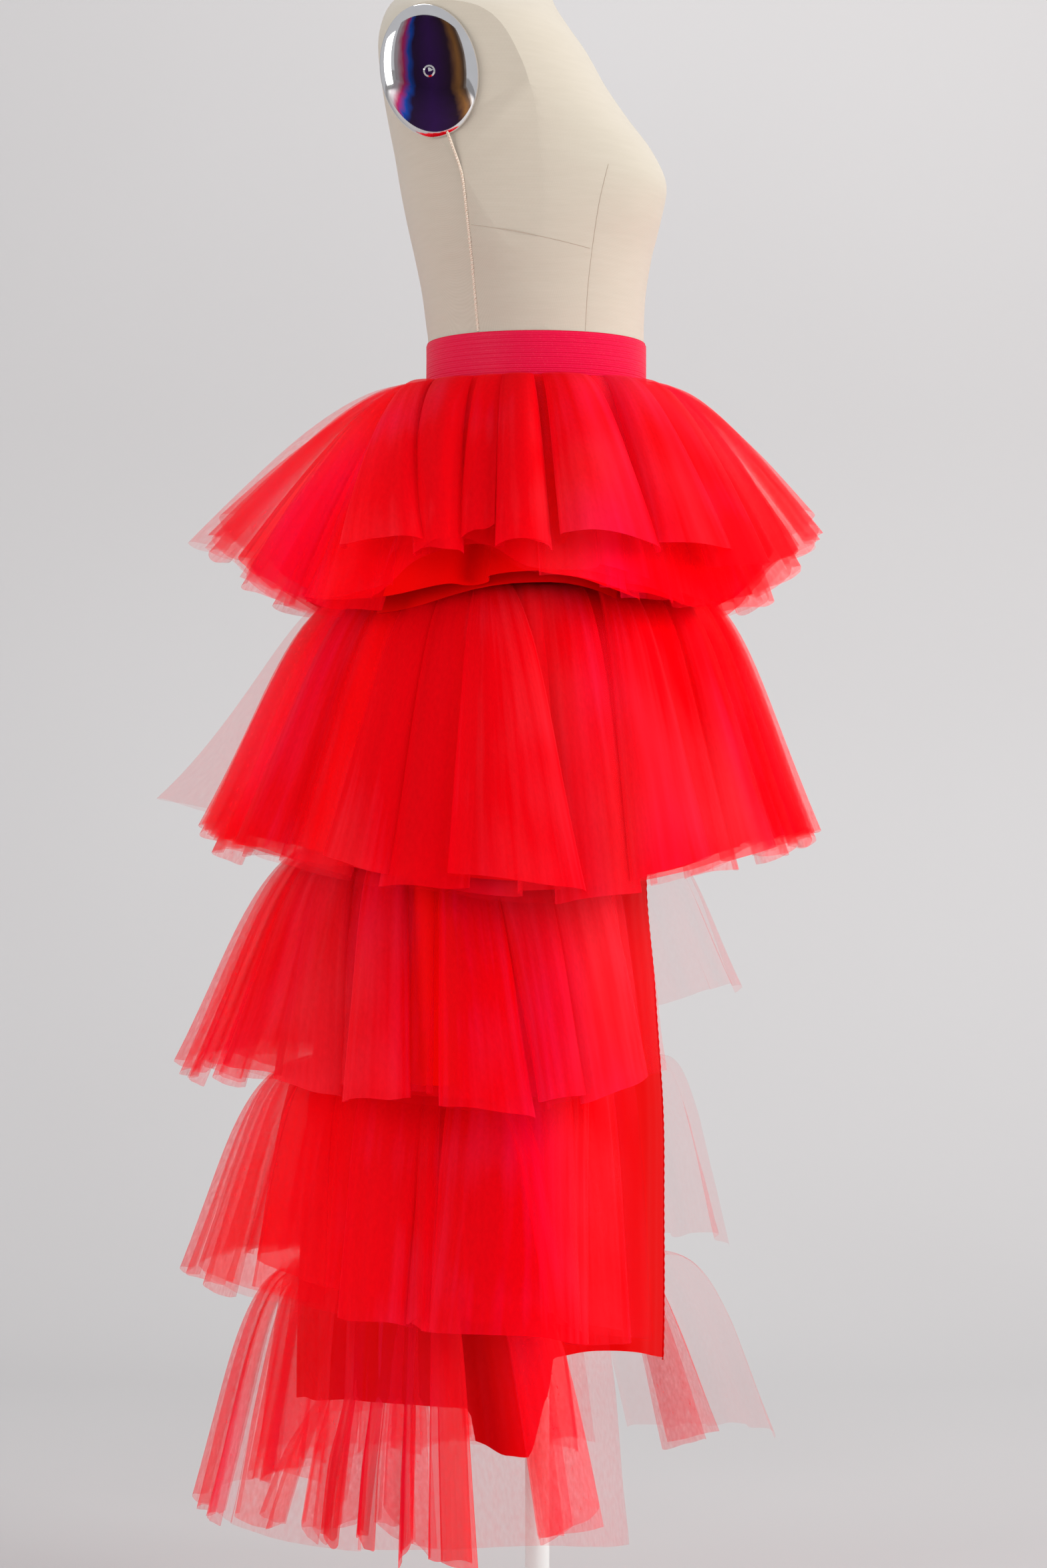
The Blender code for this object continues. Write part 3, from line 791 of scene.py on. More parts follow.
# each panel: its node, the angles of its two edges at a height, its columns and its cut
Panel = namedtuple("Panel", "node start end columns cut")
panels = {
    "slipBack": Panel("slip_back", lambda z: turn / 4, lambda z: 3 * turn / 4, 150, (0.56, 0.93)),
    "slipFrontLeft": Panel("slip_front_left", slitAngle, lambda z: turn / 4, 80, (0.27, 0.90)),
    "slipFrontRight": Panel("slip_front_right", lambda z: 3 * turn / 4, lambda z: turn - slitAngle(z), 80,
                            (0.27, 0.90)),
}


def slipPlace(panel, u, t):
    top, bottom = slip["sections"][0].z, slip["sections"][-1].z
    level = top + (bottom - top) * t
    angle = panel.start(level) + (panel.end(level) - panel.start(level)) * u
    fall = min(level - slip["straight"], 0) / (bottom - slip["straight"])
    z = max(level, slip["straight"]) + (slipHem(angle) - slip["straight"]) * fall
    rumple = noise.noise(Vector((9 * angle, 2.2 * z, 3.1))) * smoothStep(1.1 - z, 0, 0.2)
    return slipPoint(angle, z, slip["out"] + slip["crease"] * rumple)


def makeSlip(finish):
    for name, panel in panels.items():
        work = clothGrid(panel.columns, slip["rows"], lambda u, t: slipPlace(panel, u, t), panel.cut)
        piece = ready(name, work, finish, (panel.node,), 0)


def makeSerging(finish):
    # overlocked edge down each side of the slit: a thin roll with a stitch every few millimetres
    top, bottom = slip["slitTop"] - serging["below"], slip["hem"][0][1] + serging["above"]
    for side, word in ((1, "Left"), (-1, "Right")):
        work = bmesh.new()
        rings = []
        for k in range(serging["rings"] + 1):
            z = top + (bottom - top) * k / serging["rings"]
            centre = slipPoint(side * slitAngle(z), z, slip["out"])
            stitch = math.sin(turn * k / serging["ringsAStitch"])
            radius = serging["radius"] * (1 + serging["swell"] * stitch)
            made = bmesh.ops.create_circle(work, segments=6, radius=radius)["verts"]
            bmesh.ops.translate(work, verts=made, vec=centre)
            rings.append(list({e for v in made for e in v.link_edges}))
        for first, second in zip(rings, rings[1:]):
            bmesh.ops.bridge_loops(work, edges=first + second)
        bmesh.ops.holes_fill(work, edges=rings[0] + rings[-1], sides=0)
        bmesh.ops.recalc_face_normals(work, faces=work.faces)
        ready(f"slitSerging{word}", work, finish, smooth=0)


# each tulle tier: its node, its seam's height, the heights of its hem and how far that reaches
# from the pole, at the back, at the left and right of the front and at the sides; the two points
# that round its profile, bulge by its share of the way out and its height over the seam, and fall
# by its shares of the way out and down; how much shorter its outer nets are in the middle of the
# wearer's right side, and how much lower it dips between back, front and sides
Around = namedtuple("Around", "back left right side")
Tier = namedtuple("Tier", "node seam hem reach bulge fall notch cornerDrop", defaults=(0.0, 0.0))
tiers = {
    "tier1": Tier("tier_1", 1.144, Around(1.004, 1.004, 1.004, 0.972), Around(0.291, 0.246, 0.246, 0.284),
                  (0.19, 0.018), (0.52, 0.30), 0.024, 0.042),
    "tier2": Tier("tier_2", 0.956, Around(0.738, 0.738, 0.738, 0.694), Around(0.293, 0.240, 0.240, 0.290),
                  (0.42, 0.032), (0.62, 0.46)),
    "tier3": Tier("tier_3", 0.735, Around(0.542, 0.598, 0.552, 0.522), Around(0.312, 0.176, 0.138, 0.290),
                  (0.44, 0.012), (0.62, 0.46)),
    "tier4": Tier("tier_4", 0.535, Around(0.348, 0.368, 0.300, 0.338), Around(0.308, 0.172, 0.122, 0.284),
                  (0.46, 0.014), (0.62, 0.40)),
    "tier5": Tier("tier_5", 0.350, Around(0.140, 0.176, 0.146, 0.150), Around(0.297, 0.206, 0.150, 0.274),
                  (0.46, 0.014), (0.62, 0.40)),
}

# the layers that go round: the net, how far it reaches beside the tier, how much longer it is,
# its folds, their depth, how far they lap over each other, its cut, a seed, and the degrees from
# the front at which it starts and ends
Layer = namedtuple("Layer", "net reach longer folds depth lap cut seed start end")
layers = {
    "tier1": [
        Layer("sheer", 1.00, 0.000, 10, 0.010, 0.35, (1.8, 0.24), 1, 0, 360),
        Layer("full", 0.89, 0.004, 9, 0.008, 0.35, (1.7, 0.24), 3, 0, 360),
        Layer("core", 0.76, 0.004, 8, 0.008, 0.30, (1.6, 0.22), 4, 0, 360),
    ],
    "tier2": [
        Layer("sheer", 1.00, 0.000, 10, 0.012, 0.35, (2.0, 0.30), 5, 0, 360),
        Layer("full", 0.92, -0.004, 9, 0.009, 0.35, (1.8, 0.30), 7, 0, 360),
        Layer("core", 0.82, -0.010, 8, 0.008, 0.30, (1.7, 0.28), 8, 0, 360),
    ],
    "tier3": [
        Layer("sheer", 1.00, 0.000, 5, 0.007, 0.30, (1.3, 0.22), 9, 62, 322),
        Layer("light", 0.92, 0.002, 6, 0.008, 0.35, (1.1, 0.22), 10, 80, 308),
        Layer("full", 0.72, -0.004, 6, 0.008, 0.35, (0.9, 0.22), 17, 84, 306),
        Layer("veil", 1.34, -0.014, 3, 0.005, 0.20, (0.2, 0.22), 11, 8, 62),
    ],
    "tier4": [
        Layer("sheer", 1.00, 0.000, 5, 0.007, 0.30, (1.2, 0.22), 12, 62, 318),
        Layer("light", 0.92, 0.000, 5, 0.008, 0.35, (1.0, 0.22), 13, 80, 306),
        Layer("full", 0.42, -0.012, 5, 0.007, 0.35, (0.8, 0.22), 18, 84, 262),
        Layer("veil", 1.34, 0.004, 3, 0.006, 0.20, (0.2, 0.22), 15, 16, 62),
    ],
    "tier5": [
        Layer("sheer", 1.00, 0.004, 5, 0.007, 0.30, (1.1, 0.23), 14, 70, 302),
        Layer("light", 0.40, -0.040, 5, 0.007, 0.35, (0.6, 0.20), 19, 90, 226),
        Layer("veil", 1.36, 0.000, 3, 0.006, 0.20, (0.2, 0.23), 16, 16, 70),
    ],
}

# the folds of the outer net, laid over those layers one by one. Angles and half widths at the
# seam and at the hem are in degrees, from the front by the left side; low is how much lower its
# hem is than the tier's and tilt how much lower its far corner is, in mm; puff is how far it
# stands out, in mm, roll how far its edges turn under, reach how far it goes beside the tier, and
# count its thicknesses of net
Fold = namedtuple("Fold", "seam seamHalf hem hemHalf low tilt puff roll reach count net")
folds = {
    "tier1": [
        Fold(190, 5, 189, 4, 2, 0, 24, 0.00, 1.00, 1, "sheer"),
        Fold(196, 7, 199, 7, -10, 0, 11, 0.20, 0.98, 1, "light"),
        Fold(202, 7, 208, 8, 16, 0, 10, 0.10, 0.90, 1, "light"),
        Fold(204, 6, 215, 7, 4, 4, 12, 0.20, 0.95, 2, "light"),
        Fold(209, 6, 224, 8, 18, 0, 11, 0.10, 0.88, 1, "light"),
        Fold(214, 7, 236, 8, 6, 0, 12, 0.20, 0.94, 2, "light"),
        Fold(210, 4, 244, 8, -33, 4, 20, 0.15, 1.00, 1, "full"),
        Fold(229, 11, 253.5, 3.8, -16, 0, 17, 0.45, 0.98, 2, "full"),
        Fold(250, 6, 259.5, 3.2, -28, 0, 8, 0.30, 0.93, 1, "full"),
        Fold(262, 6, 267.5, 4.8, -14, 0, 20, 0.45, 0.99, 2, "full"),
        Fold(277, 11, 279, 9, 14, 0, 10, 0.20, 0.93, 1, "light"),
        Fold(280, 9, 284, 10, -24, -4, 22, 0.15, 1.00, 1, "full"),
        Fold(298, 7, 294, 7, 12, 0, 12, 0.15, 0.93, 2, "light"),
        Fold(306, 7, 301, 9, -32, 0, 22, 0.10, 1.00, 1, "full"),
        Fold(314, 8, 306, 8, 12, 0, 12, 0.15, 0.93, 2, "light"),
        Fold(320, 9, 314, 8, -22, 0, 20, 0.10, 1.00, 1, "full"),
        Fold(232, 12, 229, 10, 12, 0, 8, 0.00, 0.80, 2, "full"),
        Fold(262, 30, 262, 30, 15, 0, 6, 0.00, 0.60, 1, "core"),
        Fold(281, 14, 281, 12, 12, 0, 8, 0.00, 0.77, 1, "core"),
        Fold(300, 14, 296, 12, 10, 0, 8, 0.00, 0.80, 2, "full"),
        Fold(334, 12, 320, 9, 16, 0, 11, 0.15, 0.92, 1, "light"),
        Fold(340, 12, 330, 9, 2, 0, 13, 0.20, 0.96, 2, "light"),
        Fold(351, 10, 345, 9, -12, 0, 11, 0.20, 0.99, 1, "light"),
    ],
    "tier2": [
        Fold(187, 4, 187, 3, -24, 0, 52, 0.00, 0.98, 1, "veil"),
        Fold(197, 8, 196, 8, -6, 0, 12, 0.15, 0.98, 1, "light"),
        Fold(206, 7, 205, 8, 6, 0, 14, 0.15, 0.99, 2, "light"),
        Fold(219, 6, 217, 8, -4, 0, 18, 0.10, 0.99, 1, "full"),
        Fold(231, 6, 229, 8, 5, 0, 14, 0.15, 0.98, 2, "light"),
        Fold(242, 4, 239, 7, -6, 0, 18, 0.15, 0.99, 1, "full"),
        Fold(251, 6, 251, 8, 4, 0, 16, 0.15, 0.98, 1, "full"),
        Fold(279, 7, 282, 9, 8, 0, 13, 0.15, 0.96, 1, "full"),
        Fold(258, 3.5, 267, 12, -6, 3, 27, 0.15, 1.02, 1, "full"),
        Fold(297, 5, 297, 9, -6, 0, 20, 0.10, 1.00, 1, "full"),
        Fold(308, 6, 308, 7, 6, 0, 13, 0.15, 0.97, 2, "light"),
        Fold(319, 5, 319, 8, -4, 0, 18, 0.10, 0.99, 1, "full"),
        Fold(331, 8, 330, 8, 5, 0, 13, 0.15, 0.98, 2, "light"),
        Fold(345, 8, 344, 9, -5, 0, 13, 0.15, 0.98, 1, "light"),
    ],
    "tier3": [
        Fold(190, 5, 192, 4.5, 6, 0, 14, 0.20, 1.02, 2, "light"),
        Fold(198, 4, 199, 4, 12, 0, 10, 0.20, 1.00, 2, "light"),
        Fold(204, 4, 209, 5, 12, 0, 9, 0.30, 0.95, 3, "light"),
        Fold(213, 9, 220, 9, -4, 0, 12, 0.10, 1.00, 1, "full"),
        Fold(217, 7, 231, 7, 4, 0, 14, 0.15, 0.98, 1, "full"),
        Fold(250, 5, 254, 5, -8, 0, 4, 0.00, 0.80, 1, "core"),
        Fold(236, 6, 244.5, 5.8, 8, 0, 18, 0.15, 0.99, 1, "full"),
        Fold(273, 9, 279, 9, 0, 0, 11, 0.10, 0.97, 1, "full"),
        Fold(259, 6, 262, 7.5, 10, 0, 17, 0.15, 0.99, 1, "full"),
        Fold(288, 11, 297, 13, 4, 0, 13, 0.05, 1.00, 1, "full"),
    ],
    "tier4": [
        Fold(193, 4, 191, 3, -2, 0, 12, 0.20, 1.03, 1, "light"),
        Fold(198, 9, 198.5, 11, -2, 4, 9, 0.05, 1.02, 1, "light"),
        Fold(204, 6, 206, 6, 4, 0, 8, 0.15, 1.00, 1, "light"),
        Fold(216, 8, 224, 9, -3, 0, 8, 0.15, 0.90, 1, "light"),
        Fold(244, 11, 244, 6.5, 8, 0, 14, 0.20, 1.00, 1, "full"),
        Fold(255, 2.5, 251.5, 2, 8, 0, 9, 0.50, 1.01, 2, "full"),
        Fold(281, 21, 271, 19, 14, 6, 18, 0.10, 1.00, 1, "full"),
        Fold(300, 9, 294, 14, 14, 0, 10, 0.05, 0.98, 1, "light"),
        Fold(290, 5, 279, 7, 4, 0, 22, 0.30, 1.02, 1, "light"),
        Fold(268, 3, 277, 5, -2, 4, 21, 0.30, 1.02, 1, "light"),
    ],
    "tier5": [
        Fold(191, 4, 190, 3.5, -4, 0, 12, 0.20, 1.03, 2, "light"),
        Fold(198, 4, 199, 4, 2, 0, 8, 0.30, 1.00, 2, "light"),
        Fold(209, 6, 213, 6, -2, 0, 8, 0.15, 0.95, 1, "light"),
        Fold(258.5, 3, 257.5, 4.4, 20, 0, 8, 0.20, 0.62, 2, "full"),
        Fold(274, 4, 280.5, 10.5, -8, -6, 7, 0.05, 0.98, 2, "light"),
        Fold(274, 4, 276, 5, -6, -4, 6, 0.10, 0.97, 2, "light"),
        Fold(57, 2.5, 44, 9, 8, 5, 5, 0.10, 1.04, 2, "light"),
    ],
}
# the bunches of the lowest tier that hang from under the slip's back panel
underFolds = [
    Fold(213, 5, 210, 5, 0, 0, 7, 0.15, 0.60, 2, "light"),
    Fold(222, 4, 221, 4.0, 4, 6, 7, 0.20, 0.35, 3, "light"),
    Fold(229, 3, 227, 1.6, 8, 4, 9, 0.30, 0.35, 2, "full"),
    Fold(233, 4, 232, 3.6, 0, -6, 8, 0.30, 0.35, 3, "light"),
    Fold(239, 3, 237.5, 1.8, 12, 4, 7, 0.35, 0.35, 2, "full"),
    Fold(245, 4, 244, 3.8, 2, 6, 8, 0.30, 0.38, 3, "light"),
    Fold(250, 2.4, 248, 1.6, 22, -6, 7, 0.45, 0.42, 2, "full"),
    Fold(252, 3, 252.5, 2.8, 12, 6, 6, 0.30, 0.45, 2, "light"),
]
# similar folds on the side that is turned away, from start to end in degrees, with the least and
# the most of their half widths, of how much lower their hems are and of their puffs
FarFolds = namedtuple("FarFolds", "start end half low puff reach seed")
farFolds = {
    "tier1": FarFolds(-8, 192, (5, 9), (-30, 8), (10, 15), 0.97, 21),
    "tier2": FarFolds(-8, 192, (5, 8), (-6, 6), (12, 18), 0.98, 22),
    "tier3": FarFolds(66, 158, (5, 8), (0, 8), (10, 14), 0.98, 23),
    "tier4": FarFolds(70, 156, (4, 8), (0, 10), (9, 14), 0.97, 24),
    "tier5": FarFolds(78, 154, (3, 6), (0, 14), (8, 11), 0.92, 25),
}
netDrape = {
    "rows": 24,
    "columnsAFold": 32,
    "unevenDepth": 0.9,
    "unevenLean": 1.3,
    "unevenReach": 0.05,
    "unevenLength": 12 * mm,
    "fromSlip": 2.0 * mm,
    "crumple": 2.0 * mm,
    "gather": 1.2 * mm,
    "gathersAFold": 5,
    "lift": 0.30,
    "notchAt": 254,
    "notchHalf": 11,
}
foldDrape = {
    "columns": 22,
    "rows": 26,
    "wander": 0.10,
    "hemWaver": 3,
    "hemSlant": 5,
    "hemCorner": 1.5,
    "clear": 3,
    "atSeam": 0.22,
    "crease": 0.6,
    "crumple": 2.4,
    "lift": 0.25,
    "insideSlip": 2.5 * mm,
    "pressed": 0.12,
    "beside": 0.86,
}
# how each thickness of net under a fold's first one differs from it
nextNet = {"aside": 0.40, "narrower": 0.17, "narrowerSeam": 0.10, "longer": 8, "flatter": 0.20}


def hemPoint(tier, angle):
    across, ahead = math.sin(angle), math.cos(angle)
    leftness = smoothStep(across, -0.5, 0.5)
    middleZ, depth = (
        way.right + (way.left - way.right) * leftness if ahead > 0 else way.back
        for way in (tier.hem, tier.reach)
    )
    height = tier.hem.side + (middleZ - tier.hem.side) * abs(ahead) ** 1.5
    height -= tier.cornerDrop * math.sin(2 * angle) ** 2
    return Vector((tier.reach.side * across, -depth * ahead, height))


def outwardAt(angle):
    return Vector((math.sin(angle), -math.cos(angle), 0))


def overSlip(tier, angle, t, reach, longer):
    # a point of a tier's smooth form, t from the seam to the hem, and how free the net hangs there
    seam = slipPoint(angle, tier.seam, netDrape["fromSlip"])
    hem = hemPoint(tier, angle)
    hem.xy = seam.xy + (hem.xy - seam.xy) * reach
    hem.z -= longer
    bulge = seam.lerp(hem, tier.bulge[0])
    bulge.z = seam.z + tier.bulge[1]
    fall = seam.lerp(hem, tier.fall[0])
    fall.z = seam.z + (hem.z - seam.z) * tier.fall[1]
    s = 1 - t
    return seam * s**3 + bulge * 3 * s * s * t + fall * 3 * s * t * t + hem * t**3, t**0.75


def underSlip(tier, angle, t, reach, longer):
    # flat against the slip's inside down to its hem, and free below it
    hem = hemPoint(tier, angle)
    z = tier.seam + (hem.z - longer - tier.seam) * t
    edge = slipHem(angle)
    free = max(edge - z, 0) / (edge - hem.z + longer)
    inner = slipPoint(angle, max(z, edge), -foldDrape["insideSlip"])
    point = Vector((inner.x, inner.y, z))
    point.xy += (hem.xy - inner.xy) * reach * free**0.8
    return point, foldDrape["pressed"] + (1 - foldDrape["pressed"]) * smoothStep(free, 0, 0.5)


def netPhase(layer, u):
    angle = math.radians(layer.start + (layer.end - layer.start) * u)
    drift = 1.3 * math.sin(3 * angle + layer.seed) + 0.9 * math.sin(5 * angle + 2.1 * layer.seed)
    return turn * layer.folds * u + drift


def netCount(layer, u):
    # counts the creases between its folds, each narrow beside the fold
    count = 2 * netPhase(layer, u) / turn + 0.5
    whole = math.floor(count)
    return whole + 0.5 + 0.5 * (2 * (count - whole) - 1) ** 3


def netPoint(tier, layer, u, t):
    # round folds that lap over each other, deeper here and shallower there
    seed = layer.seed
    start, span = math.radians(layer.start), math.radians(layer.end - layer.start)
    angle = start + span * u
    around = Vector((math.cos(angle), math.sin(angle), 0))
    phase = netPhase(layer, u)
    swell = noise.noise(2.6 * around + Vector((0, 0, 3.7 * seed)))
    depth = layer.depth * (1 + netDrape["unevenDepth"] * swell)
    lean = netDrape["unevenLean"] * noise.noise(3.9 * around + Vector((0, 0, 5.3 * seed)))
    drift = noise.noise(1.3 * around + Vector((0, 0, 7.7 * seed)))
    sway = span / layer.folds / turn * (0.35 + 0.65 * t**0.75)
    angle += sway * (layer.lap * math.sin(2 * phase) + lean * math.sin(phase))
    longer = layer.longer - netDrape["unevenLength"] * drift
    if layer.net != "core":
        aside = (math.degrees(angle) - netDrape["notchAt"]) / netDrape["notchHalf"]
        longer -= tier.notch * math.exp(-aside**4)
    reach = layer.reach * (1 + netDrape["unevenReach"] * drift)
    point, free = overSlip(tier, angle, t, reach, longer)
    swing = math.cos(phase) + 0.22 * math.cos(2 * phase + seed)
    rumple = noise.noise(Vector((11 * angle, 4 * t, seed)))
    rumple += 0.4 * noise.noise(Vector((30 * angle, 9 * t, 2 * seed)))
    gather = netDrape["gather"] * math.cos(netDrape["gathersAFold"] * phase + 2 * math.sin(phase))
    stand = depth * swing * free + netDrape["crumple"] * rumple * t + gather * (1 - t) ** 2
    point += outwardAt(angle) * stand
    point.z += netDrape["lift"] * depth * swing * t
    return point


def foldSpread(fold, t):
    # the middle and the half width of a fold, in degrees
    spread = t**0.8
    return (fold.seam + (fold.hem - fold.seam) * spread,
            fold.seamHalf + (fold.hemHalf - fold.seamHalf) * spread)


def foldPoint(tier, fold, route, seed, u, t):
    # the net arches over from edge to edge, and both edges turn under
    bend = turn / 4 * (1 + fold.roll) * (2 * u - 1)
    middle, half = foldSpread(fold, t)
    wander = foldDrape["wander"] * half * noise.noise(Vector((seed, 1.5 * t, 0)))
    angle = math.radians(middle + wander + half * math.sin(bend))
    longer = fold.low + fold.tilt * math.sin(bend)
    longer += foldDrape["hemWaver"] * noise.noise(Vector((seed, bend, 4)))
    longer += foldDrape["hemSlant"] * math.sin(bend) * math.sin(2.7 * seed)
    longer -= foldDrape["hemCorner"] * (1 - math.cos(bend)) ** 2
    point, free = route(tier, angle, t, fold.reach, longer * mm)
    crease = foldDrape["crease"] * math.cos(3 * bend + seed)
    crease += foldDrape["crumple"] * noise.noise(Vector((1.7 * bend, 2.5 * t, seed)))
    flare = free ** max(1, (fold.puff - 12) / 10)
    grow = foldDrape["atSeam"] + (1 - foldDrape["atSeam"]) * flare
    stand = (foldDrape["clear"] + fold.puff * math.cos(bend)) * grow + crease * free
    return point + outwardAt(angle) * stand * mm + Vector((0, 0, foldDrape["lift"] * stand * mm * t))


def foldsOfFarSide(name):
    # folds side by side, no two alike
    plan = farFolds[name]
    angle, k = plan.start, 0
    while angle < plan.end:
        pick = [0.5 + 0.5 * math.sin(plan.seed * (n + 2.3) + 2.4 * (n + 1) * k) for n in range(4)]
        half, low, puff = (
            least + (most - least) * share
            for (least, most), share in zip((plan.half, plan.low, plan.puff), pick)
        )
        angle += foldDrape["beside"] * half
        yield Fold(angle, 0.9 * half, angle + 2 * pick[3] - 1, half, low, 0, puff, 0.1 + 0.3 * pick[3],
                   plan.reach, 1 + round(pick[2]), "light")
        angle += foldDrape["beside"] * half
        k += 1


def foldWidth(tier, fold, route, t):
    # the cloth across one fold, a half ellipse in section with its edges turned under
    middle, half = (math.radians(degrees) for degrees in foldSpread(fold, t))
    point, free = route(tier, middle, t, fold.reach, fold.low * mm)
    stand = fold.puff * (foldDrape["atSeam"] + (1 - foldDrape["atSeam"]) * free) * mm
    wide = turn / 2 * (1 + fold.roll) * math.hypot(half * point.xy.length, stand) / math.sqrt(2)
    return wide, point


def thicknesses(foldList, net, name):
    # every thickness of the folds of one net, those under the first a little narrower, and a seed
    for k, fold in enumerate(f for f in foldList if f.net == net):
        for n in range(fold.count):
            seed = 3.1 * k + 0.77 * n + len(name)
            yield seed, fold._replace(
                hem=fold.hem + nextNet["aside"] * n * math.sin(12.9 * seed) * fold.hemHalf,
                hemHalf=fold.hemHalf * (1 - nextNet["narrower"] * n),
                seamHalf=fold.seamHalf * (1 - nextNet["narrowerSeam"] * n),
                low=fold.low + nextNet["longer"] * n * math.sin(7.7 * seed),
                puff=fold.puff * (1 - nextNet["flatter"] * n),
            )


def joinFolds(name, tier, foldList, route, finish, net):
    # every fold of one kind of net, as one gathered strip
    whole = bmesh.new()
    width = area = 0
    for seed, fold in thicknesses(foldList, net, name):
        steps = [foldWidth(tier, fold, route, t) for t in (0, 0.25, 0.5, 0.75, 1)]
        wide = max(w for w, _ in steps)
        length = (steps[-1][1] - steps[0][1]).length
        sheet = clothGrid(
            foldDrape["columns"], foldDrape["rows"],
            lambda u, t: foldPoint(tier, fold, route, seed, u, t),
            (wide, length), shift=width, count=lambda u: 0.5 + (u - 0.5) * (1 + fold.roll),
        )
        part = bpy.data.meshes.new("fold")
        sheet.to_mesh(part)
        sheet.free()
        whole.from_mesh(part)
        bpy.data.meshes.remove(part)
        width += wide
        area += length * sum(w for w, _ in steps) / len(steps)
    piece = ready(name, whole, finish, smooth=0)
    piece.visible_shadow = net == "full"
    flat = (round(width, 2), round(tier.seam - tier.hem.side + 0.04, 3))


def makeTier(name, finishes):
    tier = tiers[name]
    for k, layer in enumerate(layers[name]):
        work = clothGrid(
            layer.folds * netDrape["columnsAFold"], netDrape["rows"],
            lambda u, t: netPoint(tier, layer, u, t), layer.cut,
            closed=layer.end - layer.start == 360, count=lambda u: netCount(layer, u),
        )
        stands = (tier.node,) if k == 0 else ()
        piece = ready(f"{name}Net{k + 1}", work, finishes[layer.net], stands, 0)
        piece.visible_shadow = layer.net == "core"
    outer = folds[name] + list(foldsOfFarSide(name))
    for net in sorted({f.net for f in outer}):
        joinFolds(f"{name}Folds{net.capitalize()}", tier, outer, overSlip, finishes[net], net)


studio = {
    "eye": Vector((-3.4, 0.0125, 0.788)),
    "lens": 85.7,
    "floorNear": -6.0,
    "floorReach": 1.5,
    "bend": 1.4,
    "wallTop": 4.5,
    "halfWidth": 5.0,
    "air": shade(0.93, 0.95, 1.0),
    "airStrength": 0.60,
    # the last is how many thicknesses of net can be seen through
    "bounces": {"max_bounces": 5, "diffuse_bounces": 2, "transmission_bounces": 3,
                "transparent_max_bounces": 96},
    # a dark card under and behind the viewer, seen only in the chrome
    "card": [(-0.75, 0.004), (-4.3, 0.004), (-4.3, 3.6)],
    "cardHalf": 3.0,
}
Lamp = namedtuple("Lamp", "place target size power mirrored", defaults=(True,))
lamps = {
    "keyLight": Lamp((-1.4, -3.3, 2.0), (0, 0, 0.85), (2.4, 2.8), 150, False),
    "fillLight": Lamp((-2.2, 3.0, 1.3), (0, 0, 0.8), (1.6, 2.2), 62),
    "backdropLight": Lamp((0.9, -0.4, 3.6), (2.6, 0, 0.9), (2.4, 1.2), 40),
}


def makeLamp(name, lamp):
    light = bpy.data.lights.new(name, "AREA")
    light.shape = "RECTANGLE"
    light.size, light.size_y = lamp.size
    light.energy = lamp.power
    made = bpy.data.objects.new(name, light)
    made.location = lamp.place
    made.rotation_euler = (Vector(lamp.target) - Vector(lamp.place)).to_track_quat("-Z", "Y").to_euler()
    made.visible_glossy = lamp.mirrored
    bpy.context.scene.collection.objects.link(made)


def makeScreen(name, outline, half, finish, smooth):
    # a bent sheet across the scene, from its outline seen from the side
    work = bmesh.new()
    line = [work.verts.new((x, -half, z)) for x, z in outline]
    edges = [work.edges.new(pair) for pair in zip(line, line[1:])]
    push = bmesh.ops.extrude_edge_only(work, edges=edges)
    moved = [v for v in push["geom"] if isinstance(v, bmesh.types.BMVert)]
    bmesh.ops.translate(work, verts=moved, vec=(0, 2 * half, 0))
    bmesh.ops.recalc_face_normals(work, faces=work.faces)
    screen = linked(name, work, finish, smooth)
    return screen


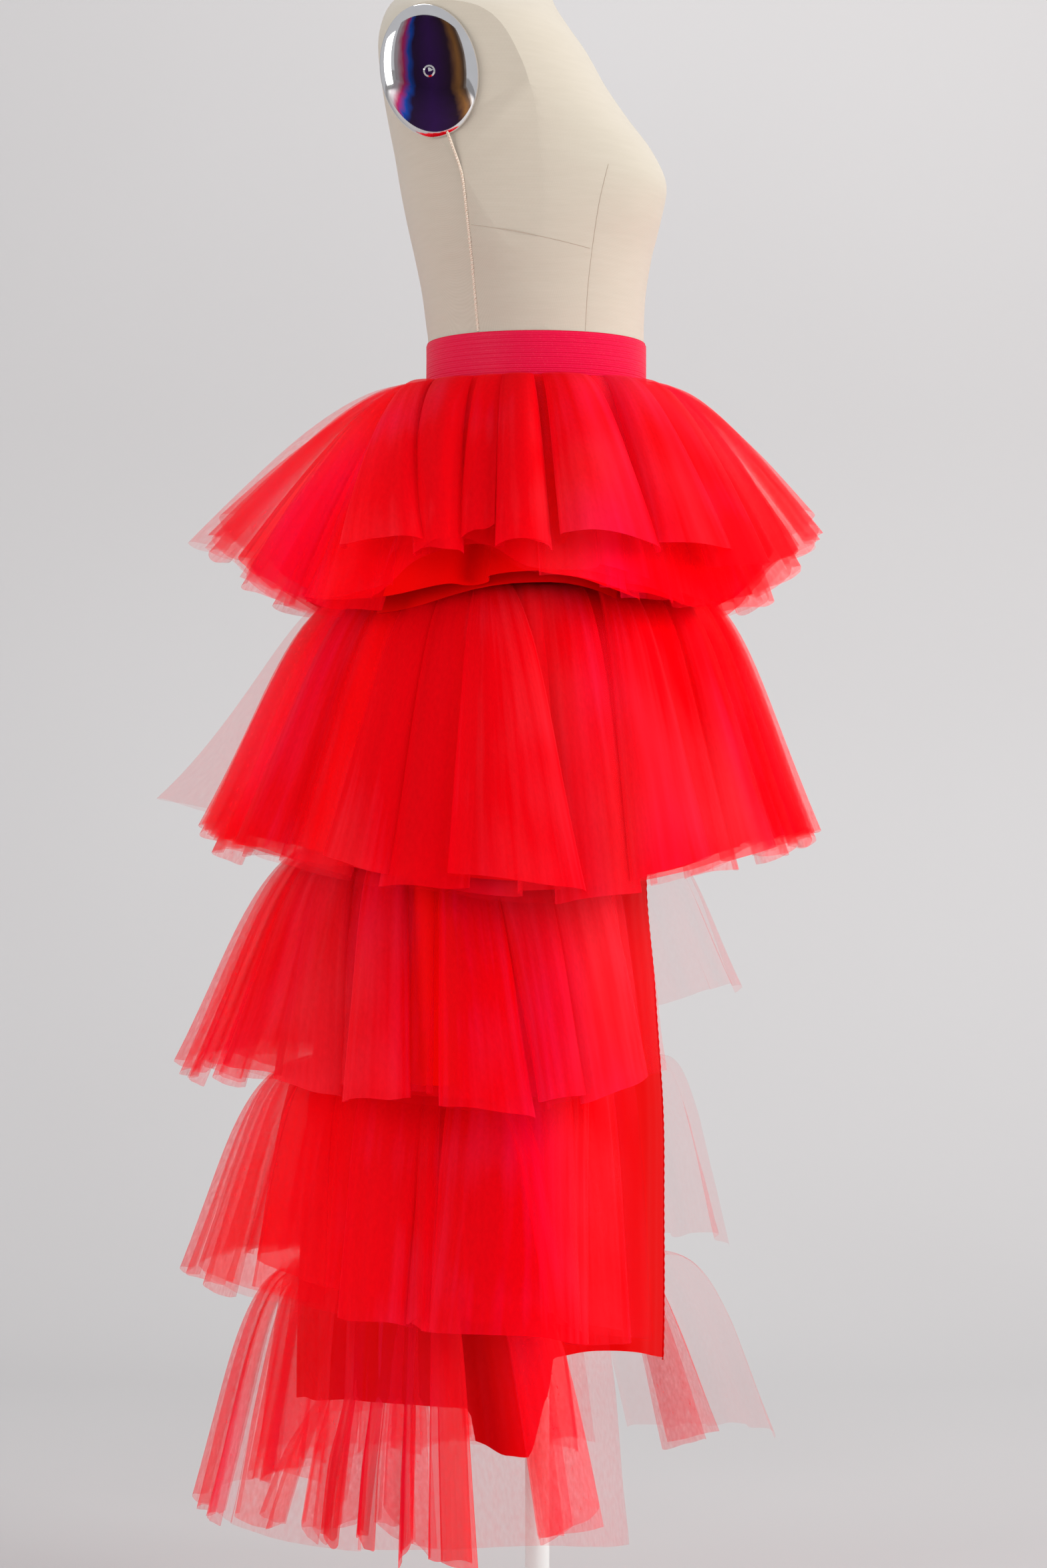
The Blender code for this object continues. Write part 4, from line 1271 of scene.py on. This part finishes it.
def makeStudio():
    reach, bend = studio["floorReach"], studio["bend"]
    arc = [(reach + bend * math.sin(a), bend - bend * math.cos(a))
           for a in (math.radians(5 * k) for k in range(1, 19))]
    outline = [(studio["floorNear"], 0.0), (reach, 0.0), *arc, (reach + bend, studio["wallTop"])]
    makeScreen("backdrop", outline, studio["halfWidth"], backdropFinish(), 0)
    card = makeScreen("darkCard", studio["card"], studio["cardHalf"], cardFinish(), 40)
    card.visible_camera = card.visible_diffuse = card.visible_shadow = False
    card.visible_transmission = False
    for name, lamp in lamps.items():
        makeLamp(name, lamp)


def makeAir():
    scene = bpy.context.scene
    world = bpy.data.worlds.new("studioAir")
    world.use_nodes = True
    air = world.node_tree.nodes["Background"]
    air.inputs["Color"].default_value = studio["air"]
    air.inputs["Strength"].default_value = studio["airStrength"]
    scene.world = world
    scene.view_settings.view_transform = "Standard"
    scene.view_settings.look = "None"
    for key, value in studio["bounces"].items():
        setattr(scene.cycles, key, value)


def makeCamera():
    eye = bpy.data.cameras.new("camera")
    eye.lens = studio["lens"]
    eye.sensor_fit = "VERTICAL"
    eye.sensor_height = 36
    camera = bpy.data.objects.new("camera", eye)
    camera.location = studio["eye"]
    camera.rotation_euler = (turn / 4, 0, -turn / 4)
    bpy.context.scene.collection.objects.link(camera)
    bpy.context.scene.camera = camera


makeStudio()
makeAir()
makeCamera()
print("studio ready")

chrome, thread = chromeFinish(), threadFinish()
makeTorso(linenFinish())
for side, word in ((-1, "right"), (1, "left")):
    makePlate(side, word, chrome)
    makeScrew(side, word, chrome)
    makeSideSeam(side, word.capitalize(), thread)
makeSeams(seamFinish())
makeNeckCap(chrome)
makeStand(paintFinish())
print("dress form ready")

satin = satinFinish()
makeWaistband(elasticFinish())
makeSlip(satin)
makeSerging(satin)
print("waistband and slip ready")

finishes = {net: netFinish(net) for net in nets}
for name in tiers:
    makeTier(name, finishes)
    print(name, "ready")
for net in sorted({f.net for f in underFolds}):
    joinFolds(f"tier5Under{net.capitalize()}", tiers["tier5"], underFolds, underSlip, finishes[net], net)
print("bunches under the slip ready")
